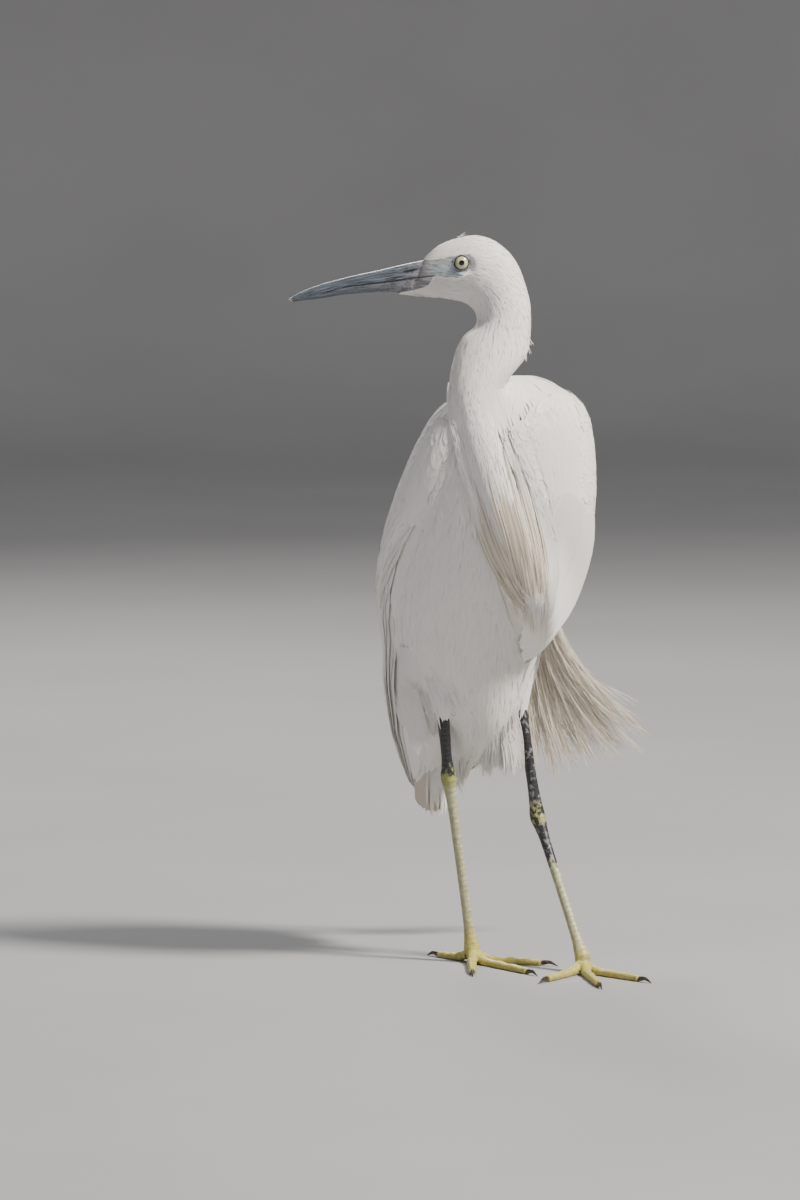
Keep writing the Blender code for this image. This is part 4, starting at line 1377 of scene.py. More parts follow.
@dataclass
class Coat:
    """Grows feathers over the skin, each along its own path on it."""

    skin: Skin
    skin_off: float = 2.0 * MM
    trunk_middle: tuple = (2.0, 5.0, 0.0)
    heights: tuple = (0.085, 0.462)

    def unwrap(self, places: np.ndarray) -> np.ndarray:
        """Place of points on an unwrap of the body: turn round its own line and height.

        Args:
            places: Points in metres.

        Returns:
            (points, 2) places within the unit square.
        """
        middle = np.array(world(*self.trunk_middle))
        low, high = self.heights
        height = (places[:, 2] - low) / (high - low)
        on_neck = step_between(0.355, 0.375, places[:, 2])
        rows = smooth_table(HEAD_ROWS, 60)
        centre = np.array([by_head((r[0] + r[2]) / 2, r[4], (r[1] + r[3]) / 2) for r in rows])
        nearest = ((places[:, None, :2] - centre[:, :2]) ** 2).sum(-1) + (places[:, 2:3] - centre[:, 2]) ** 2
        closest = centre[nearest.argmin(1)]
        middle = middle + (closest - middle) * on_neck[:, None]
        turn = np.arctan2(places[:, 0] - middle[:, 0], -(places[:, 1] - middle[:, 1]))
        u = 0.02 + 0.96 * (turn / (2 * math.pi) + 0.5)
        return np.stack([u, 0.02 + 0.96 * np.clip(height, 0, 1)], axis=1)

    def roots(self, chance: np.random.Generator, wanted: np.ndarray, spacing: float) -> tuple:
        """Scattered places on some of the skin's faces, about one in each cell of a grid.

        Args:
            chance: Random numbers.
            wanted: Which faces may hold a root.
            spacing: Size of the grid in metres.

        Returns:
            The places and their faces.
        """
        faces = np.flatnonzero(wanted)
        area = self.skin.area[faces]
        count = int(area.sum() / spacing**2 * 9)
        picked = faces[chance.choice(len(faces), count, p=area / area.sum())]
        share = np.sort(chance.random((count, 2)), axis=1)
        one, two, three = (self.skin.points[self.skin.faces[picked, k]] for k in range(3))
        weights = np.stack([share[:, 0], share[:, 1] - share[:, 0], 1 - share[:, 1]], axis=1)
        places = one * weights[:, :1] + two * weights[:, 1:2] + three * weights[:, 2:]
        cell = np.floor(places / spacing).astype(np.int64)
        key = (cell[:, 0] * 73856093) ^ (cell[:, 1] * 19349663) ^ (cell[:, 2] * 83492791)
        _, first = np.unique(key, return_index=True)
        return places[first], picked[first]

    def walk(
        self, places: np.ndarray, faces: np.ndarray, length: np.ndarray, rings: int,
        lift: np.ndarray, aside: np.ndarray,
    ) -> tuple[np.ndarray, np.ndarray]:
        """Paths that run over the skin from their roots, along the lie of the coat.

        Args:
            places: Roots.
            faces: The skin's face under each root.
            length: Each path's length in metres.
            rings: Points of a path.
            lift: (paths, rings) height over the skin in metres.
            aside: (paths,) slope to one side.

        Returns:
            The paths and the way that is up along them, (paths, rings, 3) each.
        """
        skin = self.skin
        spot, face = places.copy(), faces.copy()
        normal = skin.face_normal[face]
        way = skin.face_flow[face]
        way = flat_against(way + np.cross(normal, way) * aside[:, None], normal)
        path = np.empty((len(places), rings, 3))
        up = np.empty_like(path)
        step = (length / (rings - 1))[:, None]
        for k in range(rings):
            path[:, k] = spot + normal * lift[:, k : k + 1]
            up[:, k] = normal
            if k == rings - 1:
                break
            ahead = spot + way * step
            found = [skin.tree.find_nearest(Vector(p)) for p in ahead]
            landed = np.array([f[0] for f in found])
            gap = np.array([f[3] for f in found])
            face_new = np.array([f[2] for f in found])
            on_skin = gap < self.skin_off
            face = np.where(on_skin, face_new, face)
            new_normal = np.where(on_skin[:, None], skin.face_normal[face], normal)
            spot = np.where(on_skin[:, None], landed, ahead)
            run = skin.face_flow[face]
            run = run + np.cross(new_normal, run) * aside[:, None]
            way = np.where(on_skin[:, None], flat_against(way * 0.5 + run, new_normal), way)
            normal = unit(normal * 0.35 + new_normal)
        return path, up

    def grow(self, vanes: Vanes, wanted: np.ndarray, kind: Growth, stretch: object = None) -> None:
        """Grows one kind of feather over some of the skin's faces.

        Args:
            vanes: The piece that gets them.
            wanted: Which faces may hold a root.
            kind: How they grow.
            stretch: Function from places to a share of the full length, or None.
        """
        if not wanted.any():
            return
        chance = vanes.chance
        places, faces = self.roots(chance, wanted, kind.spacing * MM)
        count = len(places)
        share = np.ones(count) if stretch is None else stretch(places)
        length = kind.length * MM * share * (1 + kind.uneven * (chance.random(count) - 0.5))
        width = kind.width * MM * share**0.5 * (1 + 0.3 * (chance.random(count) - 0.5))
        run = np.linspace(0, 1, kind.rings)
        tip_lift = kind.tip_lift * (0.8 + 0.4 * chance.random(count))[:, None]
        rise = kind.root_lift + (tip_lift - kind.root_lift) * (1 - (1 - run) ** 1.8)
        aside = chance.normal(0, kind.wander, count)
        path, up = self.walk(places, faces, length, kind.rings, rise * MM * np.sqrt(share)[:, None], aside)
        vanes.add(path, up, width, kind.shape, self.unwrap(places), columns=kind.columns, crest=kind.crest)


@dataclass
class BodyCoat:
    """The coat of head, neck, trunk and thighs, finer towards the bill.

    Sizes on the head are millimetres from the middle of the eyes; heights are in metres.
    """

    skin: Skin
    bill_root: tuple = (-24.0, 0.0, -8.0)
    coat_front: float = -33.0
    face_to: float = 16.0
    cheek_to: float = 34.0
    upper_neck: float = 0.33
    belly_top: float = 0.235
    rump: tuple = (0.058, 0.080)
    rump_share: float = 0.38

    def by_rump(self, places: np.ndarray) -> np.ndarray:
        """Share of their length that feathers have; they are short where the rump ends."""
        return 1 - (1 - self.rump_share) * step_between(*self.rump, places[:, 1])

    def build(self, soft: bpy.types.Material) -> None:
        """Grows every piece of the coat.

        Args:
            soft: The coat's finish.
        """
        skin = self.skin
        coat = Coat(skin)
        middle, region = skin.face_middle, skin.region
        spot = skin.head_places(middle)
        bare = skin.bare_share(middle) > -0.25
        from_bill = np.linalg.norm(spot * (1.0, 0.8, 1.0) - self.bill_root, axis=1)

        head = (region == "head") & ~bare & (spot[:, 0] > self.coat_front)
        vanes = Vanes("coat_head", 11)
        face = head & (from_bill < self.face_to)
        cheek = head & (from_bill >= self.face_to) & (from_bill < self.cheek_to)
        back = head & (from_bill >= self.cheek_to)
        coat.grow(vanes, face, Growth(0.8, 4.2, 0.85, 0.32, -0.2, rings=4))
        coat.grow(vanes, cheek, Growth(1.0, 7.0, 1.15, 0.42, -0.2, rings=4))
        coat.grow(vanes, back, Growth(1.25, 10.5, 1.5, 0.55, -0.3, rings=5))
        vanes.build(soft, "feather")

        vanes = Vanes("coat_neck", 12)
        neck = region == "neck"
        upper = neck & (middle[:, 2] > self.upper_neck)
        coat.grow(vanes, upper, Growth(1.6, 16.0, 1.9, 0.75, -0.4, rings=5))
        coat.grow(vanes, neck & ~upper, Growth(1.9, 22.0, 2.3, 0.85, -0.4, rings=6))
        vanes.build(soft, "feather")

        trunk = region == "trunk"
        for name, seed, part in (
            ("coat_breast", 13, trunk & (middle[:, 2] >= self.belly_top)),
            ("coat_belly", 14, trunk & (middle[:, 2] < self.belly_top)),
        ):
            vanes = Vanes(name, seed)
            coat.grow(vanes, part, Growth(2.4, 28.0, 3.4, 1.0, -0.5, rings=6), self.by_rump)
            vanes.build(soft, "feather")

        vanes = Vanes("coat_thighs", 17)
        thighs = (region == "thigh_left") | (region == "thigh_right")
        coat.grow(vanes, thighs, Growth(1.3, 10.0, 1.7, 0.6, -0.3, rings=5))
        vanes.build(soft, "feather")


@dataclass
class WingShell:
    """Outer surface of one folded wing, by height and share from front edge to back edge."""

    side: str
    levels: int = 22
    gap: float = 0.8
    edge: float = 0.9
    bed_from: float = 215.0
    bed_to: float = 172.0
    front_line: list = field(default_factory=list)

    def bed(self, height: np.ndarray) -> list:
        """Middle and half sizes of the body under the wing at each height."""
        trunk = smooth_table(TRUNK_ROWS, self.levels)[::-1]
        low = np.array(WING_BED_ROWS)[::-1]
        share = step_between(self.bed_from, self.bed_to, height)
        found = []
        for column in (1, 2, 3, 4):
            grow = self.gap if column > 2 else 0.0
            upper = np.interp(height, trunk[:, 0], trunk[:, column]) + grow
            found.append(upper + (np.interp(height, low[:, 0], low[:, column]) - upper) * share)
        return found

    def place(self, height: np.ndarray, share: np.ndarray, lift: np.ndarray) -> np.ndarray:
        """Points on the wing's outside.

        Args:
            height: Heights in millimetres.
            share: 0 at the wing's front edge to 1 at its back edge.
            lift: Millimetres over the surface.

        Returns:
            The points in metres.
        """
        rows = smooth_table(WING_ROWS[self.side], self.levels)[::-1]
        front, back, thick = (np.interp(height, rows[:, 0], rows[:, k]) for k in (1, 2, 3))
        if self.front_line:
            line = np.array(self.front_line)[::-1]
            front = np.interp(height, line[:, 0], line[:, 1])
        crown = np.sin(math.pi * np.clip(share, 0.0, 1.0)) ** 0.55
        over = self.edge + np.maximum(thick - self.edge, 0.0) * crown + lift
        return self.around(height, np.radians(front + (back - front) * share), over)

    def around(self, height: np.ndarray, turn: np.ndarray, over: np.ndarray) -> np.ndarray:
        """Points over the body that the wing lies on.

        Args:
            height: Heights in millimetres.
            turn: Turn round the body from the breast.
            over: Millimetres over the body.

        Returns:
            The points in metres.
        """
        x, y, a, b = self.bed(height)
        sign = 1 if self.side == "left" else -1
        x = x + sign * (a + over) * np.sin(turn)
        y = y - (b + over) * np.cos(turn)
        return worlds(x, y, height)

    def up(self, height: np.ndarray, share: np.ndarray) -> np.ndarray:
        """Way that the wing's outside faces."""
        share = np.clip(share, 0.06, 0.94)
        zero = np.zeros_like(share)
        down = self.place(height - 4.0, share, zero) - self.place(height + 4.0, share, zero)
        round_ = self.place(height, share + 0.05, zero) - self.place(height, share - 0.05, zero)
        sign = -1 if self.side == "left" else 1
        return unit(np.cross(down, round_)) * sign

    def arc(self, height: float) -> float:
        """Millimetres round the wing from edge to edge at a height."""
        share = np.linspace(0, 1, 12)
        line = self.place(np.full(12, height), share, np.zeros(12))
        return float(np.linalg.norm(np.diff(line, axis=0), axis=1).sum() / MM)


@dataclass
class WingPlumage:
    """Coverts in rows, tertials, secondaries and primaries of one folded wing."""

    side: str
    seed: int
    shortest: float = 13.0
    longest: float = 40.0
    lowest_row: float = 168.0
    lowest_tip: float = 110.0
    shell: WingShell = field(init=False)
    piece: bpy.types.Object = field(init=False)

    def build(self, finish: bpy.types.Material, flight: bpy.types.Material) -> None:
        """Builds the coverts and the flight feathers.

        Args:
            finish: Finish of the coverts.
            flight: Finish of the flight feathers.
        """
        self.shell = WingShell(self.side)
        vanes = Vanes("flight_feathers_" + self.side, self.seed)
        self.flight(vanes)
        self.curtain(vanes)
        vanes.build(flight, "feather")
        if self.side == "left":
            self.shell.front_line = COVERT_FRONT
        vanes = Vanes("coverts_" + self.side, self.seed + 1)
        self.coverts(vanes)
        self.piece = vanes.build(finish, "feather")

    def lay(
        self, vanes: Vanes, height: np.ndarray, share: np.ndarray, drop: np.ndarray, drift: np.ndarray,
        width: np.ndarray, lift: tuple, rings: int, columns: int, shape: Shape, crest: float,
        droop: float = 0.04,
    ) -> None:
        """Lays feathers on the wing.

        Args:
            vanes: The piece that gets them.
            height, share: Place of each root.
            drop: How far each runs down, in millimetres.
            drift: How far its share grows on the way.
            width: Full width in millimetres.
            lift: Millimetres over the wing at the root and at the tip.
            rings, columns: Points along and across a feather.
            shape: Its outline.
            crest: Height of its shaft as a share of its half width.
            droop: How far its edges bend down, as a share of its half width.
        """
        run = np.linspace(0, 1, rings)
        high = height[:, None] - drop[:, None] * run
        along = share[:, None] + drift[:, None] * run**1.3
        over = lift[0] + (lift[1] - lift[0]) * run**0.8
        over = over + vanes.chance.normal(0, 0.08, len(height))[:, None] * run
        path = self.shell.place(high, along, over)
        up = self.shell.up(high, along)
        sign = 0.25 if self.side == "left" else 0.75
        places = np.stack([sign + 0.4 * (share - 0.5), (height - 80.0) / 300.0], axis=1)
        vanes.add(path, up, width * MM, shape, places, columns=columns, crest=crest, droop=droop)

    def coverts(self, vanes: Vanes) -> None:
        """Lays the coverts, row under row, longer further down."""
        chance = vanes.chance
        height = WING_ROWS[self.side][0][0] - 1.0
        row = 0
        while height > self.lowest_row:
            long = float(step_between(345.0, 215.0, np.array(height)))
            length = self.shortest + (self.longest - self.shortest) * long
            width = 7.0 + 7.5 * long
            count = max(4, round(self.shell.arc(height) / (width * 0.50)))
            margin = 0.42 * width / self.shell.arc(height)
            share = margin + (1.0 - margin) * (np.arange(count) + 0.1 + 0.5 * (row % 2)) / count
            share = share + chance.normal(0, 0.10, count) / count
            high = np.full(count, height) + chance.normal(0, 0.9, count)
            drop = length * (1 + chance.normal(0, 0.06, count))
            drop = np.minimum(drop, high - self.lowest_tip)
            self.lay(
                vanes, high, share, drop, (0.5 - share) * 0.02 + 0.02,
                np.full(count, width) * (1 + chance.normal(0, 0.05, count)),
                (-0.9, 0.35), 8, 5, Shape.CONTOUR, 0.05,
            )
            height -= 3.6 + 5.4 * long
            row += 1

    def flight(self, vanes: Vanes) -> None:
        """Lays primaries, then secondaries and tertials over them."""
        for count, top, front, back, tip_front, tip_back, width, lift in (
            (9, 196.0, 0.02, 0.62, 101.5, 113.0, 14.0, (-2.6, -0.9)),
            (10, 232.0, 0.06, 0.80, 132.0, 119.0, 16.0, (-1.9, -0.4)),
            (6, 248.0, 0.62, 0.98, 127.0, 117.0, 17.0, (-1.3, 0.1)),
        ):
            share = np.linspace(front, back, count)
            tip = np.linspace(tip_front, tip_back, count) + vanes.chance.normal(0, 0.8, count)
            high = np.full(count, top)
            self.lay(
                vanes, high, share, high - tip, np.linspace(0.05, 0.0, count),
                np.full(count, width), lift, 18, 7, Shape.BLADE, 0.04, 0.16,
            )

    def curtain(self, vanes: Vanes) -> None:
        """Lays inner feathers from the wing's front edge in towards the tail."""
        rings = 14
        run = np.linspace(0, 1, rings)
        sign = 1 if self.side == "left" else -1
        for layer, (count, low, high) in enumerate(((15, 28.0, 130.0), (9, 14.0, 104.0))):
            degrees = np.linspace(low, high, count)
            top = np.full(count, 198.0 - 8.0 * layer)
            tip = 104.0 + 14.0 * np.linspace(1.0, 0.0, count) + vanes.chance.normal(0, 1.2, count)
            tall = top[:, None] + (tip - top)[:, None] * run
            turn = np.radians(degrees[:, None] + 6.0 * run)
            over = np.full_like(tall, -0.5 - 1.2 * layer) + 0.5 * np.sin(degrees)[:, None] * run
            path = self.shell.around(tall, turn, over)
            facing = turn - 0.2
            up = np.stack([sign * np.sin(facing), -np.cos(facing), np.zeros_like(turn)], axis=-1)
            places = np.stack([degrees / 180.0, np.full(count, 0.1 + 0.1 * layer)], axis=1)
            width = np.full(count, 10.5 * MM)
            vanes.add(path, up, width, Shape.BLADE, places, columns=7, crest=0.04, droop=0.14)


@dataclass
class Tail:
    """Folded tail feathers with the coverts over their roots."""

    feathers: int = 8

    def build(self, flight: bpy.types.Material, soft: bpy.types.Material) -> None:
        """Builds the tail, the middle feathers hindmost."""
        vanes = Vanes("tail_feathers", 31)
        rings, top, tip = 18, 172.0, 87.5
        run = np.linspace(0, 1, rings)
        for k in range(self.feathers):
            aside = 2 * (k + 0.5) / self.feathers - 1
            x = (8.0 + 4.4 * run) * aside
            y = 60.0 + 6.8 * run - 1.0 * aside**2 - (abs(aside) - 0.5) * 1.1
            z = top - (top - tip - 6.5 * abs(aside) ** 1.6) * run
            path = worlds(x, y, z)[None]
            up = np.tile(np.array([0.35 * aside, 1.0, 0.05]), (1, rings, 1))
            vanes.add(
                path, unit(up), np.array([14.5 * MM]), Shape.BLADE,
                np.array([[0.5 + 0.3 * aside, 0.5]]), columns=7, crest=0.06, droop=0.05,
            )
        vanes.build(flight, "feather", "tail")
        self.coverts(soft)

    def coverts(self, soft: bpy.types.Material) -> None:
        """Builds the soft coverts under the tail, from the vent."""
        vanes = Vanes("tail_coverts", 33)
        chance = vanes.chance
        count, rings, top, back = 320, 8, 168.0, 60.0
        run = np.linspace(0, 1, rings)[None, :]
        turn = chance.uniform(-1, 1, count)[:, None]
        start = chance.uniform(128.0, top, count)[:, None]
        length = chance.uniform(30.0, 46.0, count)[:, None]
        depth = chance.uniform(0, 1, count)[:, None]
        z = start - length * run
        x = 3.0 + turn * (15.0 - 5.0 * (top - z) / 60.0) * (0.7 + 0.3 * depth)
        front = 36.0 + (top - z) * 0.42
        y = front + depth * (back - front) * 0.9 + 5.0 * turn**2
        path = worlds(x, y, z)
        up = np.tile(np.array([0.0, -1.0, -0.3]), (count, rings, 1)) + turn[..., None] * np.array([0.8, 0, 0])
        vanes.add(
            path, unit(up), np.full(count, 4.2) * MM, Shape.TUFT,
            np.concatenate([0.5 + 0.4 * turn, (start - 100.0) / 100.0], axis=1), crest=0.18,
        )
        vanes.build(soft, "feather")


def bezier(
    start: np.ndarray, first: np.ndarray, second: np.ndarray, end: np.ndarray, rings: int
) -> np.ndarray:
    """Points on cubic curves.

    Args:
        start, first, second, end: (curves, 3) points.
        rings: Points on each curve.

    Returns:
        (curves, rings, 3) points.
    """
    share = np.linspace(0, 1, rings)[None, :, None]
    rest = 1 - share
    return (
        start[:, None] * rest**3 + first[:, None] * 3 * rest**2 * share
        + second[:, None] * 3 * rest * share**2 + end[:, None] * share**3
    )


@dataclass
class BackPlumes:
    """Fan of long plumes with loose barbs, from the back out behind the left wing."""

    tips: tuple = (
        (28.5, -80.0, 124.8), (38.0, -84.0, 116.7), (46.8, -88.0, 107.4), (56.3, -90.0, 116.2),
        (65.1, -93.0, 119.7), (74.6, -96.0, 121.3), (83.5, -98.0, 121.1), (89.8, -100.0, 123.4),
        (97.4, -101.0, 127.8), (100.5, -101.0, 132.9), (106.9, -101.0, 139.9),
    )
    roots: tuple = ((22.0, -66.0, 220.0), (42.0, -49.0, 226.0))
    plumes: int = 190
    barbs: int = 13
    rings: int = 16
    facing: Vector = field(default_factory=lambda: Vector((0.25, 1.0, 0.0)).normalized())
    sag: Vector = field(default_factory=lambda: Vector((0.10, 0.10, -0.98)).normalized())

    def build(self, cream: bpy.types.Material) -> None:
        """Builds the plumes.

        Args:
            cream: Their finish.
        """
        vanes = Vanes("back_plumes_fan", 41)
        chance = vanes.chance
        facing, sag = np.array(self.facing), np.array(self.sag)
        ends = np.array([in_plane(*tip) for tip in self.tips])
        root = np.array([in_plane(*place) for place in self.roots])
        across = np.sort(np.clip(chance.beta(0.85, 1.35, self.plumes), 0, 1))
        place = across * (len(ends) - 1)
        end = np.stack([np.interp(place, np.arange(len(ends)), ends[:, k]) for k in range(3)], axis=1)
        start = root[0] + (root[1] - root[0]) * across[:, None]
        reach = np.linalg.norm(end - start, axis=1, keepdims=True)
        end = start + (end - start) * chance.uniform(0.80, 1.03, self.plumes)[:, None]
        end = end + chance.normal(0, 1.8 * MM, (self.plumes, 3))
        depth = chance.normal(0, 0.9 * MM, self.plumes)[:, None] * facing
        start = start + chance.normal(0, 1.6 * MM, (self.plumes, 3))
        first = start + sag * reach * 0.30 + chance.normal(0, 1.2 * MM, (self.plumes, 3))
        second = start + (end - start) * 0.50 + np.array([0, 0, -0.16]) * reach
        second = second + chance.normal(0, 2.2 * MM, (self.plumes, 3))
        path = bezier(start + depth * 0.6, first + depth, second + depth, end + depth, self.rings)
        run = np.linspace(0, 1, self.rings)[None, :, None]
        waves = chance.uniform(5.0, 9.0, self.plumes)[:, None, None]
        swing = np.sin(waves * run + across[:, None, None] * 14.0)
        side = unit(np.cross(unit(np.gradient(path, axis=1)), facing))
        path = path + side * swing * run * chance.uniform(0.3, 1.3, self.plumes)[:, None, None] * MM
        up = np.tile(facing, (self.plumes, self.rings, 1))
        places = np.stack([0.05 + 0.9 * across, np.full(self.plumes, 0.95)], axis=1)
        vanes.add(path, up, np.full(self.plumes, 0.5 * MM), Shape.STRAND, places, crest=0.7)
        self.add_barbs(vanes, path, across)
        vanes.build(cream, "plume", "back_plumes")

    def add_barbs(self, vanes: Vanes, path: np.ndarray, across: np.ndarray) -> None:
        """Adds loose barbs, which leave each shaft at a narrow angle and run beside it.

        Args:
            vanes: The piece.
            path: The shafts.
            across: Each shaft's place across the fan.
        """
        chance, facing = vanes.chance, np.array(self.facing)
        count = len(path) * self.barbs
        owner = np.repeat(np.arange(len(path)), self.barbs)
        at = chance.uniform(0.10, 0.93, count)
        length = chance.uniform(0.16, 0.30, count)
        rings = 7
        share = np.minimum(at[:, None] + length[:, None] * np.linspace(0, 1, rings), 1.04)
        spot = share * (self.rings - 1)
        low = np.clip(spot.astype(int), 0, self.rings - 2)
        part = (spot - low)[..., None]
        line = path[owner]
        index = np.arange(count)[:, None]
        base = line[index, low] * (1 - part) + line[index, low + 1] * part
        along = unit(line[index, low + 1] - line[index, low])
        side = unit(np.cross(along, facing))
        sign = np.where(chance.random(count) < 0.5, -1.0, 1.0)[:, None, None]
        spread = chance.uniform(0.6, 3.0, count)[:, None, None] * MM
        run = np.linspace(0, 1, rings)[None, :, None]
        base = base + side * sign * spread * run**0.75
        base = base + facing * chance.normal(0, 0.7, count)[:, None, None] * MM * run
        places = np.stack([0.05 + 0.9 * across[owner], 0.05 + 0.85 * at], axis=1)
        vanes.add(
            base, np.tile(facing, (count, rings, 1)), chance.uniform(0.24, 0.44, count) * MM,
            Shape.STRAND, places, crest=0.7,
        )


@dataclass
class Sight:
    """What is seen from one side: the nearest of several surfaces along parallel lines."""

    trees: list
    bridge: float = 5.0 * MM

    def add(self, piece: bpy.types.Object) -> None:
        """Adds a piece's surface."""
        corners = vertex_array(piece.data)
        flat = np.empty(len(piece.data.loops), np.int32)
        piece.data.loops.foreach_get("vertex_index", flat)
        self.trees.append(BVHTree.FromPolygons(corners.tolist(), flat.reshape(-1, 3).tolist()))

    def cast(self, start: Vector, way: Vector) -> tuple[float, Vector]:
        """Distance to the nearest surface along a line, and its normal."""
        best = (math.nan, -way)
        for tree in self.trees:
            place, normal, _, gap = tree.ray_cast(start, way)
            if place is not None and not gap >= best[0]:
                best = (gap, normal)
        return best

    def drape(
        self, points: np.ndarray, towards: Vector, lift: np.ndarray, smoothing: int = 5
    ) -> tuple[np.ndarray, np.ndarray]:
        """Lays lines of points on what is seen.

        Args:
            points: (lines, points, 3) places in metres, moved along the line of sight only.
            towards: Way to the viewer.
            lift: (lines, points) millimetres over the surface.
            smoothing: How often each line is smoothed.

        Returns:
            The lines, and the way that is up along them.
        """
        depth = np.empty(points.shape[:2])
        normals = np.empty(points.shape)
        along = unit(np.gradient(points, axis=1))
        side = np.cross(along, np.array(towards)) * self.bridge
        for i, row in enumerate(points):
            for k, point in enumerate(row):
                start = Vector(point) + towards * VIEW_REACH
                gap, normal = self.cast(start, -towards)
                near = [self.cast(start + Vector(side[i, k]) * way, -towards)[0] for way in (-1, 1)]
                depth[i, k] = gap if math.isnan(sum(near)) else min(gap, sum(near) / 2)
                normals[i, k] = normal if normal.dot(towards) > 0 else -normal
            found = np.flatnonzero(~np.isnan(depth[i]))
            if len(found) == 0:
                depth[i] = VIEW_REACH
            else:
                depth[i] = np.interp(np.arange(len(row)), found, depth[i, found])
        for _ in range(smoothing):
            for table in (depth, normals):
                table[:, 1:-1] = (table[:, :-2] + 2 * table[:, 1:-1] + table[:, 2:]) / 4
        view = np.array(towards)
        up = unit(unit(normals) + view * 0.6)
        return points + view * (VIEW_REACH - depth[..., None]) + up * lift[..., None] * MM, up


def seen_places(across: np.ndarray, height: np.ndarray) -> np.ndarray:
    """Places in the head's plane that the camera sees at an across and a height.

    Args:
        across: Millimetres across the plane.
        height: Millimetres above the floor as the camera sees them.

    Returns:
        The places in metres, with one more axis.
    """
    return (
        np.array(in_plane(0, 0, 0))
        + across[..., None] * np.array(ACROSS) * MM
        + (height / math.cos(TILT))[..., None] * np.array(UPWARD) * MM
    )


@dataclass(frozen=True)
class Patch:
    """Feathers laid from end to end of a patch between two lines.

    The lines are (across, height) in millimetres as the camera sees them. A feather's
    root and tip are shares of the way along them.
    """

    left: tuple
    right: tuple
    count: int
    root: tuple
    reach: tuple
    width: tuple
    lift: tuple
    shape: Shape = Shape.TUFT
    rings: int = 7
    columns: int = 3
    crest: float = 0.14
    lip: float = 0.0
    even: bool = False

    def spots(self, q: np.ndarray, t: np.ndarray) -> np.ndarray:
        """Places in metres, still to be laid on the bird, at shares across and along."""
        marks = np.linspace(0, 1, 50)
        left, right = (smooth_table(rows, len(marks)) for rows in (self.left, self.right))
        beyond = np.maximum(t - 1.0, 0.0)
        steps = 16.3
        across, height = (
            (np.interp(t, marks, left[:, k]) + (left[-1, k] - left[-4, k]) * beyond * steps) * (1 - q)
            + (np.interp(t, marks, right[:, k]) + (right[-1, k] - right[-4, k]) * beyond * steps) * q
            for k in (0, 1)
        )
        return seen_places(across, height)

    def grow(self, vanes: Vanes, sight: Sight) -> None:
        """Lays the patch's feathers.

        Args:
            vanes: The piece that gets them.
            sight: What they are laid on.
        """
        chance = vanes.chance
        count = self.count
        q = (np.arange(count) + 0.5) / count if self.even else chance.random(count)
        root = chance.uniform(*self.root, count)
        reach = chance.uniform(*self.reach, count)
        run = np.linspace(0, 1, self.rings)
        t = root[:, None] + reach[:, None] * run
        aside = chance.normal(0, 0.02, count)[:, None] * run
        points = self.spots(q[:, None] + aside, t)
        rise = self.lift[0] + (self.lift[1] - self.lift[0]) * run**0.8
        rise = rise * chance.uniform(0.8, 1.2, count)[:, None]
        rise = rise + self.lip * np.exp(-((q / 0.12) ** 2))[:, None] * np.minimum(run * 2.5, 1.0)
        path, up = sight.drape(points, TOWARDS, rise)
        places = np.stack([0.1 + 0.8 * np.clip(q, 0, 1), 0.05 + 0.9 * np.clip(root, 0, 1)], axis=1)
        vanes.add(
            path, up, chance.uniform(*self.width, count) * MM, self.shape, places,
            columns=self.columns, crest=self.crest, droop=0.05,
        )


